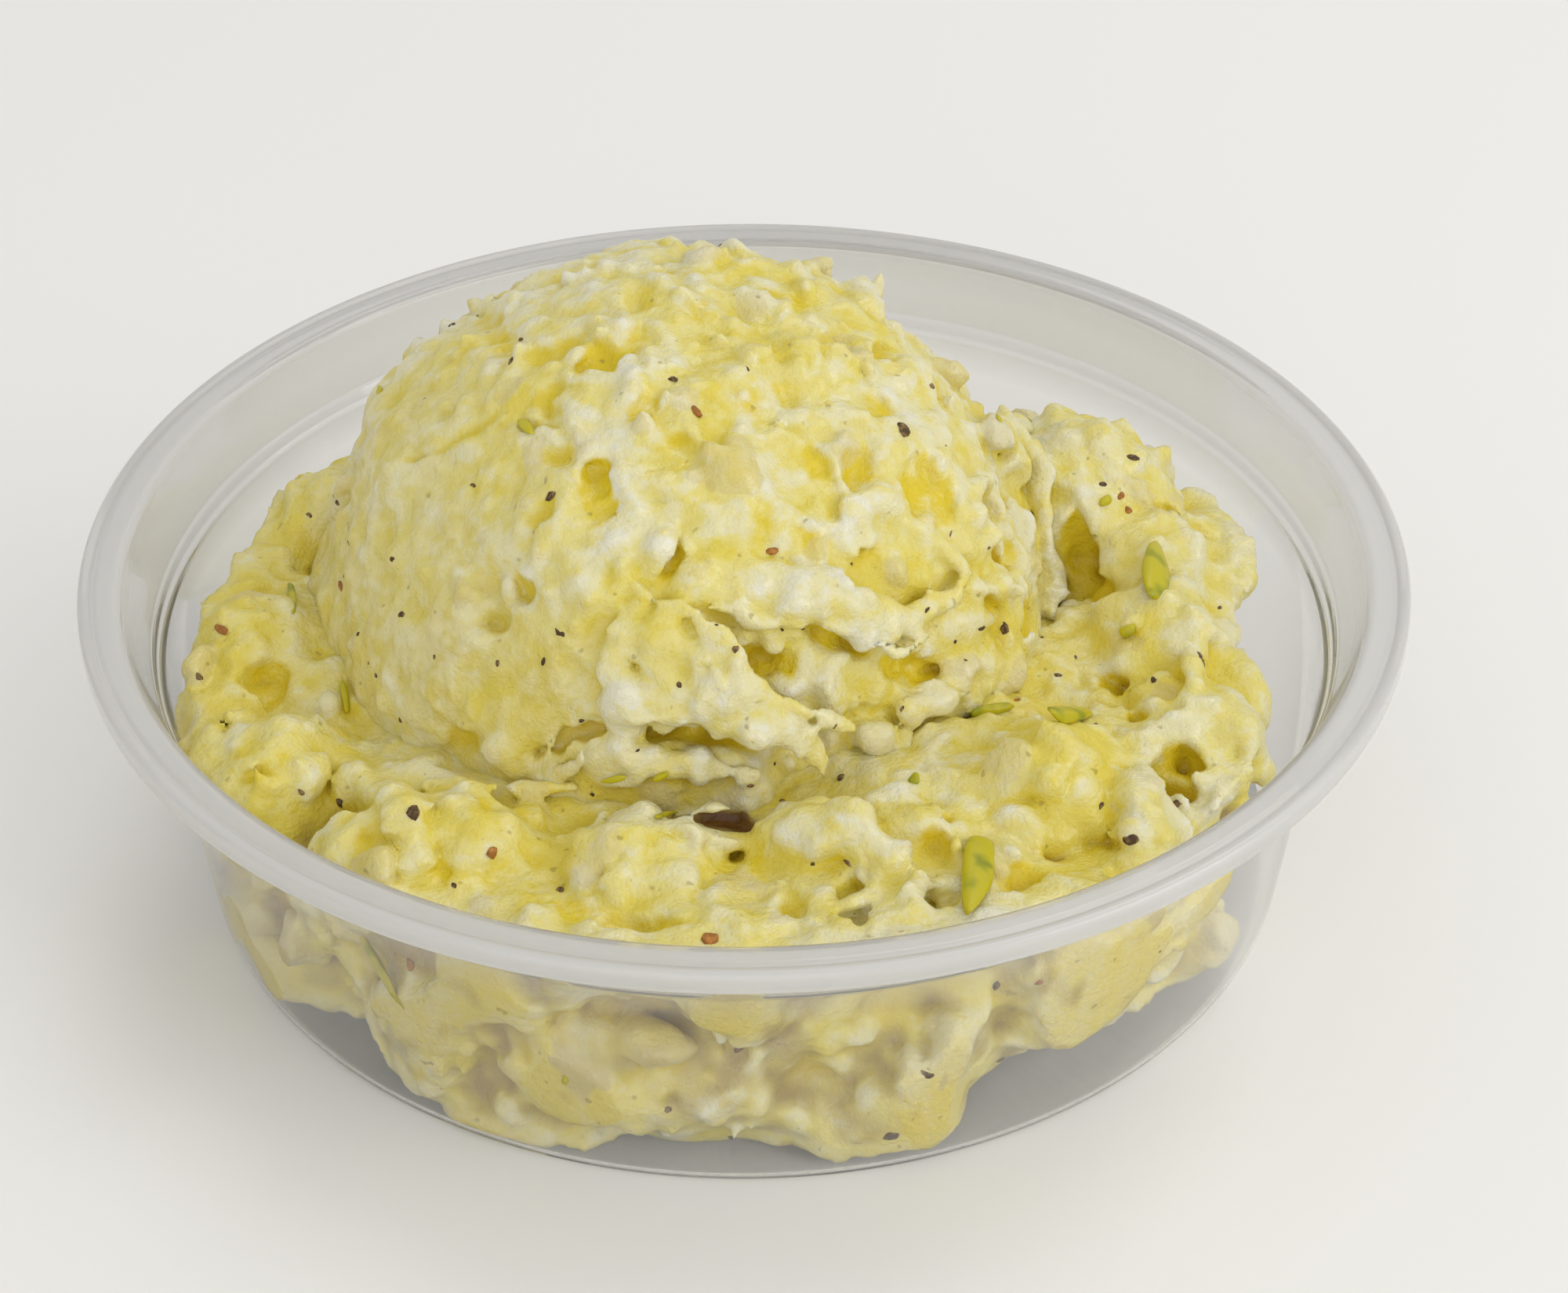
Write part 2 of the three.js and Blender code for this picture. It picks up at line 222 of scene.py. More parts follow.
# smooth random values: a random lattice carried to the grid by cubic B-spline weights on each axis
def latticeNoise(axes, spacing, seed):
    random = np.random.default_rng(seed)
    counts = [int((axis[-1] - axis[0]) / spacing) + 5 for axis in axes]
    values = random.uniform(-1, 1, counts).astype(np.float32)
    for number, axis in enumerate(axes):
        place = (axis - axis[0]) / spacing
        whole = np.floor(place).astype(int)
        t = place - whole
        weights = np.zeros((len(axis), counts[number]), np.float32)
        rows = np.arange(len(axis))
        weights[rows, whole] = (1 - t) ** 3 / 6
        weights[rows, whole + 1] = (3 * t ** 3 - 6 * t ** 2 + 4) / 6
        weights[rows, whole + 2] = (-3 * t ** 3 + 3 * t ** 2 + 3 * t + 1) / 6
        weights[rows, whole + 3] = t ** 3 / 6
        values = np.moveaxis(np.tensordot(weights, values, (1, number)), 0, number)
    return values / values.std()


def joinSmooth(a, b, width):
    h = np.clip(0.5 + 0.5 * (b - a) / width, 0.0, 1.0)
    return b + (a - b) * h - width * h * (1.0 - h)


def cutSmooth(a, b, width):
    return -joinSmooth(-a, b, width)


# the part of the grid within reach of a point
def nearby(axes, centre, reach):
    parts = []
    for axis, c in zip(axes, centre):
        first = np.searchsorted(axis, c - reach)
        last = np.searchsorted(axis, c + reach)
        parts.append(slice(int(first), int(last)))
    return tuple(parts)


# the twelve directions of an icosahedron's corners, turned at random and each bent a little
def sideDirections(random):
    golden = (1 + math.sqrt(5)) / 2
    flat = np.array([(a, b * golden, 0.0) for a in (-1, 1) for b in (-1, 1)])
    rows = np.vstack([flat, np.roll(flat, 1, 1), np.roll(flat, 2, 1)])
    turn = np.linalg.qr(random.normal(size=(3, 3)))[0]
    rows = rows @ turn + random.normal(size=(12, 3)) * 0.3
    return rows / np.linalg.norm(rows, axis=1, keepdims=True)


# how far each grid point lies along a direction
def alongRow(row, x, y, z):
    return (row[0] * x)[:, None, None] + (row[1] * y)[None, :, None] + (row[2] * z)[None, None, :]


# distance to a lump with flat broken sides and worn edges: how far out each side plane is passed,
# added up as powers, so that the farthest plane leads and two planes meet in a round edge. The
# shape is a 3 x 3 matrix that turns mm into shares of the lump's half sizes
def lumpDistance(axes, part, centre, shape, random, power=8.0):
    sides = sideDirections(random) / random.uniform(0.72, 1.0, 12)[:, None]
    x, y, z = [axis[s] - c for axis, s, c in zip(axes, part, centre)]
    total = 1e-6
    for side in sides @ shape:
        total = total + np.maximum(alongRow(side, x, y, z), 0) ** power
    smallest = 1 / np.linalg.norm(shape, 2)
    return ((total ** (1 / power) - 1) * smallest).astype(np.float32)


# a shape that reaches one length along the outward direction and another across it
def shapeAlong(outward, across, high):
    return np.eye(3) / across + np.outer(outward, outward) * (1 / high - 1 / across)


# distance to an ellipsoid with its own three directions as rows
def ballDistance(axes, part, centre, turn, halves):
    x, y, z = [axis[s] - c for axis, s, c in zip(axes, part, centre)]
    total = 0.0
    for row, half in zip(turn, halves):
        total = total + (alongRow(row, x, y, z) / half) ** 2
    return ((np.sqrt(total) - 1.0) * min(halves)).astype(np.float32)


def joinBall(field, axes, centre, halves, width):
    part = nearby(axes, centre, max(halves) * 1.3 + width)
    ball = ballDistance(axes, part, centre, np.eye(3), halves)
    field[part] = joinSmooth(field[part], ball, width)


# mean over a cube of side 2 r + 1 steps, from running sums along each axis
def boxMean(values, r):
    for number in range(3):
        padded = np.concatenate([np.repeat(np.take(values, [0], number), r + 1, number), values,
                                 np.repeat(np.take(values, [-1], number), r, number)], number)
        sums = np.cumsum(padded, number, dtype=np.float64)
        length = values.shape[number]
        above = np.take(sums, np.arange(2 * r + 1, 2 * r + 1 + length), number)
        below = np.take(sums, np.arange(0, length), number)
        values = ((above - below) / (2 * r + 1)).astype(np.float32)
    return values


# grid values at points, blended between the eight grid points round each
def sampleAt(values, axes, points):
    step = axes[0][1] - axes[0][0]
    place = (points - np.array([axis[0] for axis in axes])) / step
    place = np.clip(place, 0, np.array(values.shape) - 1.001)
    whole = place.astype(int)
    t = place - whole
    total = 0.0
    for i in (0, 1):
        for j in (0, 1):
            for k in (0, 1):
                share = (t[:, 0] if i else 1 - t[:, 0]) * (t[:, 1] if j else 1 - t[:, 1])
                share = share * (t[:, 2] if k else 1 - t[:, 2])
                total = total + share * values[whole[:, 0] + i, whole[:, 1] + j, whole[:, 2] + k]
    return total


# skin of the field: one point in each cell the surface crosses, at the mean of its crossings, and
# one four-sided face round each grid edge that the surface crosses
def skinOf(field, axes):
    step = axes[0][1] - axes[0][0]
    inside = field < 0
    nx, ny, nz = field.shape
    corners = [(i, j, k) for i in (0, 1) for j in (0, 1) for k in (0, 1)]
    count = np.zeros((nx - 1, ny - 1, nz - 1), np.int8)
    for i, j, k in corners:
        count += inside[i:nx - 1 + i, j:ny - 1 + j, k:nz - 1 + k]
    mixed = (count > 0) & (count < 8)
    cells = np.argwhere(mixed)
    index = np.full(mixed.shape, -1, np.int32)
    index[mixed] = np.arange(len(cells))
    total = np.zeros((len(cells), 3))
    crossings = np.zeros(len(cells))
    for corner in corners:
        for number in range(3):
            if corner[number]:
                continue
            end = list(corner)
            end[number] = 1
            a = field[tuple((cells + corner).T)]
            b = field[tuple((cells + end).T)]
            crossed = (a < 0) != (b < 0)
            t = np.where(crossed, a / np.where(crossed, a - b, 1), 0)
            total += crossed[:, None] * np.array(corner)
            total[:, number] += t
            crossings += crossed
    low = np.array([axis[0] for axis in axes])
    points = (cells + total / crossings[:, None]) * step + low
    quads = []
    for number in range(3):
        p, q = [n for n in range(3) if n != number]
        first = np.moveaxis(inside, number, 0)[:-1]
        second = np.moveaxis(inside, number, 0)[1:]
        change = np.moveaxis(first != second, 0, number)
        outward = np.moveaxis(first & ~second, 0, number)
        edges = np.argwhere(change)
        edges = edges[(edges[:, p] > 0) & (edges[:, q] > 0)]
        last = np.array(index.shape)
        edges = edges[(edges[:, p] < last[p]) & (edges[:, q] < last[q])]
        around = []
        for dp, dq in ((1, 1), (0, 1), (0, 0), (1, 0)):
            cell = edges.copy()
            cell[:, p] -= dp
            cell[:, q] -= dq
            around.append(index[tuple(cell.T)])
        quad = np.stack(around, 1)
        forward = outward[tuple(edges.T)]
        if number == 1:
            forward = ~forward
        quads.append(np.where(forward[:, None], quad, quad[:, ::-1]))
    return points, np.vstack(quads)


# keeps the largest connected part: the lowest point number spreads along faces until it settles
def largestPart(points, quads):
    label = np.arange(len(points))
    while True:
        lowest = label[quads].min(1)
        new = label.copy()
        for corner in range(4):
            np.minimum.at(new, quads[:, corner], lowest)
        new = new[new]
        if (new == label).all():
            break
        label = new
    biggest = np.bincount(label).argmax()
    keep = label == biggest
    number = np.cumsum(keep) - 1
    return points[keep], number[quads[keep[quads[:, 0]]]]


# each point moved part of the way to the mean of its neighbours along face sides
def relax(points, quads, share):
    ends = np.vstack([quads[:, [0, 1]], quads[:, [1, 2]], quads[:, [2, 3]], quads[:, [3, 0]]])
    count = np.bincount(ends[:, 0], minlength=len(points))
    count = count + np.bincount(ends[:, 1], minlength=len(points))
    mean = np.zeros_like(points)
    for number in range(3):
        sums = np.bincount(ends[:, 0], points[ends[:, 1], number], len(points))
        sums += np.bincount(ends[:, 1], points[ends[:, 0], number], len(points))
        mean[:, number] = sums / count
    return mix(points, mean, share)


cup = {
    "rimRadius": 58.5, "height": 30.5, "wall": 0.55, "flangeWidth": 3.4, "flangeThickness": 0.7,
    "lipDrop": 1.7, "lipThickness": 0.6, "footRadius": 48.2, "footFillet": 1.4,
    "shoulderZ": 22.8, "shoulderRadius": 52.2, "shoulderStep": 1.1, "sides": 288,
}
flangeInner = cup["rimRadius"] - cup["flangeWidth"]


# radius of the wall's outer face at height z, in straight stretches: foot, wall, shoulder, upper wall
def wallRadius(z):
    foot = cup["footRadius"] + cup["footFillet"]
    heights = [0.0, cup["footFillet"], cup["shoulderZ"], cup["shoulderZ"] + 0.9 * cup["shoulderStep"],
               cup["height"] - cup["flangeThickness"] - 0.5]
    radii = [cup["footRadius"], foot, cup["shoulderRadius"],
             cup["shoulderRadius"] + cup["shoulderStep"], flangeInner]
    return np.interp(z, heights, radii)


# a round stretch of profile: centre, radius, and angles in degrees
def arc(r, z, radius, start, end, count=7):
    angle = np.radians(np.linspace(start, end, count))
    return np.stack([r + radius * np.cos(angle), z + radius * np.sin(angle)], 1)


# a profile of (radius, height) rows turned round Z, each end of it closed to a point on the axis
def turned(name, profile, sides):
    angle = np.linspace(0, 2 * np.pi, sides, endpoint=False)
    ring = np.stack([np.cos(angle), np.sin(angle)], 1)
    body = profile[1:-1]
    rows = np.empty((len(body), sides, 3))
    rows[:, :, :2] = body[:, None, :1] * ring[None]
    rows[:, :, 2] = body[:, 1:]
    points = np.vstack([rows.reshape(-1, 3), [[0, 0, profile[0, 1]], [0, 0, profile[-1, 1]]]])
    i, j = np.meshgrid(np.arange(len(body) - 1), np.arange(sides), indexing="ij")
    following = (j + 1) % sides
    quads = np.stack([i * sides + j, i * sides + following, (i + 1) * sides + following,
                      (i + 1) * sides + j], -1).reshape(-1, 4)
    around = np.arange(sides)
    after = (around + 1) % sides
    top = (len(body) - 1) * sides
    first = np.stack([after, around, np.full(sides, len(points) - 2)], 1)
    last = np.stack([top + around, top + after, np.full(sides, len(points) - 1)], 1)
    mesh = bpy.data.meshes.new(name)
    mesh.from_pydata((points * mm).tolist(), [], quads.tolist() + first.tolist() + last.tolist())
    mesh.shade_smooth()
    thing = bpy.data.objects.new(name, mesh)
    bpy.context.scene.collection.objects.link(thing)
    return thing


# half of the cup's section: underside, foot, wall, shoulder, flange and lip, then back down inside
def cupProfile():
    t = cup["wall"]
    under = cup["height"] - cup["flangeThickness"]
    rim = cup["rimRadius"]
    fillet = cup["footFillet"]
    foot = cup["footRadius"]
    shoulderTop = cup["shoulderZ"] + 0.9 * cup["shoulderStep"]
    shoulderOut = cup["shoulderRadius"] + cup["shoulderStep"]
    outside = [
        [[0, 0.0], [foot * 0.5, 0.0], [foot - 0.6, 0.0]],
        arc(foot, fillet, fillet, -90, -8),
        arc(cup["shoulderRadius"] + 0.35, cup["shoulderZ"] - 0.35, 0.35, 175, 95, 4),
        arc(shoulderOut - 0.35, shoulderTop + 0.35, 0.35, -85, 0, 4),
        arc(flangeInner + 0.45, under - 0.5, 0.5, 170, 90, 5),
        [[rim - cup["lipThickness"] - 0.25, under]],
        arc(rim - cup["lipThickness"] - 0.2, under - 0.2, 0.2, 90, 0, 3),
        arc(rim - cup["lipThickness"] / 2, cup["height"] - cup["lipDrop"], 0.3, 180, 360, 7),
        arc(rim - 0.5, cup["height"] - 0.5, 0.5, 0, 90, 6),
        [[rim - 0.95, cup["height"] - 0.02], [rim - 1.1, cup["height"] - 0.2],
         [rim - 1.4, cup["height"] - 0.22], [rim - 1.6, cup["height"] - 0.06]],
        arc(flangeInner - t + 0.9, cup["height"] - 0.9, 0.9, 90, 172, 6),
    ]
    inside = [
        arc(shoulderOut - t - 0.3, shoulderTop + 0.8 * t + 0.3, 0.3, 0, -80, 4),
        arc(cup["shoulderRadius"] + 0.35, cup["shoulderZ"] - 0.35, 0.35 + t, 100, 175, 5),
        arc(foot, fillet, fillet - t, -8, -90),
        [[foot * 0.5, t], [0, t]],
    ]
    return supported(np.vstack([np.asarray(stretch, float) for stretch in outside + inside]))


# adds points to each long stretch of a profile: close to both ends, to keep corners crisp, and between
def supported(profile, longest=3.0, close=0.25):
    rows = [profile[:1]]
    for start, end in zip(profile[:-1], profile[1:]):
        length = float(np.linalg.norm(end - start))
        shares = [1.0]
        if length > 4 * close:
            count = int(length / longest) + 2
            shares = np.append(np.linspace(close / length, 1 - close / length, count), 1.0)
        rows.append(np.array([mix(start, end, share) for share in shares]))
    return np.vstack(rows)


# The salad is a scoop in a bed. Both are fields that get relief, then the forms of the image.
scoop = {
    "centre": np.array([-6.0, 2.0, 21.0]), "radius": 33.1, "voxel": 0.4,
    "broad": 0.6, "middle": 0.26, "folds": 0.24, "small": 0.18, "fine": 0.12,
    "chunks": 480, "lumps": 1000, "hollows": 60, "crumbs": 2400,
    "pressedRelief": 0.55,  # share of the relief left where the scoop's bowl pressed the salad
}
bed = {
    "height": 25.0, "frontRise": 1.5, "rearDrop": 6.0, "frontEdge": 51.2, "rearEdge": 43.6,
    "frontDirection": 262.0, "fullFrontTo": 50.0, "drawnBackFrom": 90.0, "wallLean": 0.12,
    "lowestLift": 0.0, "voxel": 0.46,
    "broad": 0.8, "middle": 0.3, "folds": 0.22, "small": 0.16, "fine": 0.12,
    "chunks": 640, "lumps": 1500, "hollows": 110, "crumbs": 3200,
    # direction in degrees, width in degrees and height in mm of the clear gaps at the floor
    "gaps": [(222, 14, 2.2), (305, 18, 4), (20, 40, 4), (120, 50, 3)],
    "intoWall": 0.15, "sideBack": 1.0, "sideRelief": 2.0,
}

# masses that stand out of the bed: place and half sizes
masses = [
    (30.5, 11.5, 25.5, 9, 9.5, 9.5),
    (36.5, 2, 21.5, 6, 9, 9),
    (36.5, -8, 22, 6.5, 8, 8),
    (38, -20, 22, 6, 8, 7),
    (-42, -8, 22, 6.5, 6.5, 7),
    (-37, 11, 22, 6, 6, 8.5),
    (-40, -24, 21, 7, 7, 6.5),
    (-24, -36, 22.5, 10, 6, 6),
    (-8, -39, 22.5, 9, 6, 6),
    (10, -38, 23, 10, 7, 6.5),
    (26, -30, 23, 8, 8, 7),
]

# The forms that the image shows are given at its pixels. A stroke is a row of balls: across and
# down in pixels, radius in pixels, and how far in mm its middle stands out of the plain form.
scoopStrokes = [
    # the flap torn out of the front, its bright upper edge and its drips
    [(824, 768, 17, 0.6), (802, 820, 30, 1.2), (788, 866, 25, 1.5)],
    [(850, 800, 30, 0.9), (900, 858, 37, 1.5), (962, 903, 34, 1.8), (1012, 933, 25, 2.1),
     (1036, 958, 13, 2.5)],
    [(800, 868, 26, 1.6), (872, 890, 25, 1.8), (948, 918, 20, 2.1)],
    [(836, 812, 30, 1.1), (838, 850, 30, 1.4), (884, 878, 26, 1.7)],
    [(818, 752, 9, 1.4), (889, 791, 10, 2.2), (929, 838, 11, 2.7), (1012, 900, 11, 2.8),
     (1066, 924, 8, 2.4)],
    [(792, 872, 16, 1.6), (789, 896, 13, 2.0), (789, 908, 9, 2.2)],
    [(1032, 955, 12, 2.6), (1037, 980, 8, 3.0)],
    # the layer above it, and its lower lip
    [(880, 752, 24, 0.2), (950, 752, 30, 0.5), (1030, 764, 38, 0.8), (1100, 786, 38, 1.1),
     (1150, 790, 30, 1.3), (1194, 764, 22, 1.2)],
    [(905, 780, 8, 1.3), (962, 786, 8, 1.5), (1040, 797, 11, 1.9), (1095, 808, 12, 2.1),
     (1124, 830, 11, 2.4), (1165, 806, 12, 2.3), (1190, 775, 10, 2.1), (1212, 735, 9, 1.8)],
    [(1040, 846, 24, -0.8), (1062, 894, 22, -0.4)],
    [(1157, 909, 22, 0.2), (1200, 893, 10, 1.0), (1214, 880, 6, 1.5)],
    [(1118, 944, 22, 0.0), (1160, 950, 16, 0.0)],
    # lobes above the lip, and the spike at the right
    [(1078, 652, 13, 0.5), (1118, 641, 13, 0.7)],
    [(1128, 652, 15, 0.5), (1180, 688, 16, 0.9), (1208, 720, 11, 1.3)],
    [(1150, 577, 8, 0.4), (1204, 587, 9, 0.6), (1226, 602, 8, 0.8)],
    [(1196, 644, 20, 0.4), (1222, 628, 15, 0.9), (1244, 612, 8, 1.6)],
    [(1259, 556, 22, 0.3), (1298, 549, 19, 0.6)],
    [(1285, 580, 14, 0.4)],
    # thin upright edge between the two deep hollows
    [(1318, 578, 14, 0.2), (1328, 630, 15, 0.5), (1336, 690, 15, 0.7), (1346, 745, 15, 0.6),
     (1344, 790, 15, 0.2)],
    # tips that stand on the outline
    [(670, 338, 14, 0.1), (680, 324, 11, 0.8)],
    [(1018, 352, 14, 0.1), (1045, 343, 10, 0.4)],
    [(1104, 400, 22, 0.1), (1108, 380, 14, 0.9), (1110, 367, 7, 1.5)],
    [(1156, 393, 13, 0.5)],
    # edge of the smooth part at the upper left
    [(519, 440, 12, -0.5), (560, 446, 12, -0.2), (602, 456, 12, 0.1), (634, 466, 10, 0.1)],
    [(765, 577, 11, 0.5), (752, 560, 9, 0.3)],
    # drips at the lower left
    [(690, 905, 28, -0.4), (662, 934, 20, 0.4), (637, 961, 8, 1.4)],
    [(704, 984, 13, 0.6), (732, 974, 13, 1.4), (750, 957, 10, 2.0), (756, 945, 6, 2.3)],
    [(740, 966, 14, 0.0), (800, 968, 17, 0.5), (880, 975, 18, 0.6), (950, 986, 14, 0.2)],
]
scoopCuts = [
    [(609, 388, 12, 0.6), (632, 420, 23, 0.7), (652, 450, 10, 0.3)],
    [(637, 529, 5, 0.0), (596, 551, 6, 0.0), (560, 575, 5, 0.0), (522, 596, 4, 0.1)],
    # under the layer's lip, and the hollows at its right
    [(921, 822, 13, -0.8), (950, 838, 18, -1.2), (1000, 850, 16, -1.0)],
    [(1052, 816, 10, -0.6), (1100, 826, 10, -0.5)],
    [(1140, 850, 16, -0.6), (1166, 852, 25, -1.0), (1202, 857, 17, -0.5)],
    # the crevice under the flap
    [(705, 944, 10, -0.2), (780, 928, 14, -0.8), (850, 934, 16, -1.2), (920, 948, 15, -1.0),
     (985, 966, 10, -0.6)],
    [(690, 956, 13, 0.0), (720, 951, 9, 0.0)],
    [(750, 994, 6, 0.0), (830, 998, 7, 0.0), (900, 997, 7, -0.2)],
]
# pits with across, down and radius in pixels and depth in mm
scoopPits = [
    (768, 464, 27, 1.5), (726, 449, 18, 0.7), (806, 436, 16, 0.6), (759, 622, 21, 1.6),
    (757, 600, 16, 1.2), (784, 664, 18, 0.8), (892, 396, 14, 0.6), (965, 434, 32, 0.9),
    (1018, 391, 14, 0.9), (980, 380, 10, 0.6), (961, 518, 18, 1.1), (1010, 499, 28, 0.7),
    (1039, 595, 17, 1.3), (1091, 596, 26, 1.0), (1167, 627, 42, 1.1), (1258, 662, 28, 2.8),
    (1291, 622, 27, 2.6), (1270, 698, 24, 2.4), (653, 446, 14, 0.6), (600, 716, 22, 0.4),
    (622, 742, 14, 0.5), (677, 741, 20, 0.7), (590, 690, 12, 0.4), (635, 796, 13, 0.5),
    (587, 941, 17, 1.3), (865, 721, 13, 0.6), (1110, 697, 12, 0.5), (1094, 706, 11, 0.4),
    (674, 549, 9, 0.9), (1086, 917, 8, 0.8), (1313, 736, 12, 0.6), (700, 520, 24, 0.4),
    (820, 520, 22, 0.5), (905, 455, 20, 0.4), (820, 385, 22, 0.4), (745, 395, 20, 0.35),
    (1060, 440, 20, 0.5), (1130, 460, 22, 0.5), (1190, 500, 20, 0.5), (1120, 520, 20, 0.5),
    (870, 560, 18, 0.4), (715, 590, 18, 0.4), (700, 660, 20, 0.4), (1235, 700, 18, 0.8),
    (1290, 700, 20, 0.9), (1250, 770, 20, 0.6), (1300, 800, 18, 0.6), (970, 655, 22, 0.4),
    (1030, 690, 14, 0.5),
]
bedStrokes = [
    [(394, 994, 24, 0.2)],
    [(500, 1012, 22, 0.2), (520, 1040, 30, 0.4), (532, 1100, 20, 0.4)],
    [(608, 1093, 15, 0.1)],
    [(590, 1016, 12, 0.4), (660, 1014, 13, 0.7), (735, 1000, 12, 0.9)],
    [(880, 1072, 22, 0.3), (905, 1062, 22, 0.9), (930, 1078, 20, 0.7)],
    [(813, 1134, 34, 0.2), (868, 1122, 28, 0.4)],
    [(931, 1184, 27, 0.6)],
    # the big round lobe at the front
    [(1022, 1068, 34, 0.4), (1080, 1060, 44, 0.9), (1132, 1090, 34, 0.5)],
    [(1239, 1030, 13, 0.6), (1222, 1070, 14, 0.3)],
    [(1300, 1060, 34, 0.2)],
    [(1330, 1000, 30, 0.3), (1290, 985, 24, 0.2)],
    # the fold in front of the deep hollow at the right
    [(1350, 962, 28, 0.4), (1416, 934, 26, 0.8), (1452, 960, 22, 1.3), (1456, 984, 21, 1.4),
     (1436, 1018, 22, 1.0)],
    [(1456, 1062, 25, 0.7), (1478, 1076, 17, 0.8)],
    [(1517, 786, 12, 0.5), (1520, 830, 12, 0.8), (1522, 876, 12, 0.7)],
    [(1584, 938, 24, 0.3), (1604, 984, 19, 0.6)],
    [(1473, 941, 12, 0.8)],
]
bedCuts = [
    [(462, 1068, 24, 1.0), (518, 1136, 24, 1.0)],
    [(555, 1072, 8, 0.0), (566, 1108, 9, 0.0), (606, 1124, 9, 0.0), (637, 1114, 8, 0.0),
     (634, 1084, 7, 0.0)],
    [(780, 1178, 18, 0.2), (856, 1184, 20, 0.2)],
    [(974, 1074, 8, 0.0), (962, 1112, 9, 0.0), (972, 1152, 8, 0.0)],
    [(1180, 972, 9, 0.0), (1229, 942, 11, -0.2), (1256, 914, 12, -0.3), (1292, 916, 7, 0.0)],
    [(1312, 936, 6, 0.0), (1344, 917, 6, 0.0)],
    [(1396, 986, 6, 0.0), (1418, 975, 6, 0.0), (1441, 981, 6, 0.0)],
    # what shows through the front of the cup
    [(488, 1320, 9, 0.0), (517, 1331, 17, 0.0), (549, 1340, 9, 0.0)],
    [(622, 1352, 6, 0.0), (650, 1317, 8, 0.0), (683, 1297, 8, 0.0), (734, 1281, 9, 0.0),
     (766, 1291, 8, 0.0)],
    [(873, 1350, 20, -1.2), (850, 1412, 12, -0.8)],
    [(903, 1330, 24, -1.6), (922, 1380, 24, -1.4), (915, 1422, 14, -0.8)],
    [(1040, 1284, 9, 0.0), (1050, 1340, 14, 0.0), (1075, 1384, 22, 0.4)],
    [(1246, 1292, 14, -0.2), (1250, 1330, 12, -0.2)],
]
bedPits = [
    (668, 1039, 22, 0.9), (676, 1118, 13, 0.8), (742, 1166, 32, 0.8), (1081, 1145, 12, 0.7),
    (1092, 1181, 16, 0.8), (1192, 1078, 17, 1.5), (1203, 1052, 10, 1.3), (1303, 1124, 18, 1.3),
    (1196, 1163, 22, 0.6), (1444, 808, 14, 1.1), (1350, 861, 11, 1.0), (1512, 966, 23, 2.2),
    (1491, 1000, 23, 2.4), (1466, 1029, 16, 1.8), (1485, 878, 20, 1.7), (1504, 862, 16, 1.5),
    (1450, 926, 10, 1.4), (1368, 694, 25, 2.6), (1386, 722, 24, 2.4), (1402, 748, 16, 1.5),
    (1340, 640, 22, 1.6), (1400, 590, 26, 0.9), (340, 868, 18, 1.4), (440, 897, 11, 1.0),
    (655, 1339, 20, 1.4), (1013, 1429, 15, 0.8), (1134, 1401, 20, 1.1), (300, 960, 20, 0.8),
    (330, 1000, 18, 0.8), (410, 920, 16, 0.7), (720, 1060, 20, 0.6), (1010, 1160, 16, 0.6),
    (860, 1075, 12, 0.5), (1540, 830, 14, 0.7), (1420, 880, 16, 0.6),
]
# the slot between bed and scoop, painted dark brown inside as shade
slotStroke = [(878, 1026, 8, -0.8), (908, 1028, 13, -1.2), (936, 1034, 15, -1.2),
              (958, 1046, 10, -0.8)]
# cut potato that shows in the mash: across, down, half sizes in mm and how far its middle is sunk
scoopPotato = [
    (922, 622, 3.4, 2.2, 3.6, 1.5), (868, 345, 3.0, 2.0, 1.8, 1.4), (470, 520, 3.0, 2.4, 3.0, 2.6),
    (1140, 740, 2.2, 1.6, 2.0, 1.0), (430, 640, 3.0, 2.0, 4.0, 1.9),
    (1215, 470, 2.2, 1.8, 2.0, 1.2),
]
bedPotato = [
    (735, 1366, 4.4, 3.0, 4.8, 2.2), (826, 1350, 2.8, 2.4, 2.4, 1.9),
    (492, 1104, 2.2, 2.4, 3.6, 2.2), (1397, 940, 1.9, 1.6, 1.8, 0.9),
    (1226, 1340, 2.2, 2.0, 2.6, 1.8), (370, 1215, 2.6, 2.4, 3.4, 2.3),
    (1442, 620, 2.4, 2.0, 2.0, 1.4), (1430, 1290, 2.4, 2.2, 2.4, 1.9),
]


# degrees between two directions round the cup
def degreesApart(degrees, direction):
    between = np.abs(degrees - direction) % 360
    return np.minimum(between, 360 - between)


def edgeRadius(degrees):
    away = degreesApart(degrees, bed["frontDirection"])
    drawnBack = smoothStep(bed["fullFrontTo"], bed["drawnBackFrom"], away)
    return mix(bed["frontEdge"], bed["rearEdge"], drawnBack)


def liftOff(degrees):
    lift = bed["lowestLift"]
    for at, width, height in bed["gaps"]:
        lift = lift + height * np.exp(-((degreesApart(degrees, at) / width) ** 2))
    return lift


# height of the bed's top before its relief
def bedTop(y):
    rise = mix(bed["frontRise"] * smoothStep(15, 45, -y), -bed["rearDrop"], smoothStep(5, 42, y))
    return bed["height"] + rise


# the bed's side: it leans with the wall and draws in where it lifts off the floor
def bedSide(degrees, z):
    lift = liftOff(degrees)
    side = edgeRadius(degrees) + bed["wallLean"] * (z - bed["height"]) + 0.6
    return side - (0.1 + 0.45 * lift) * (1 - smoothStep(0.0, 9.0, z - lift))


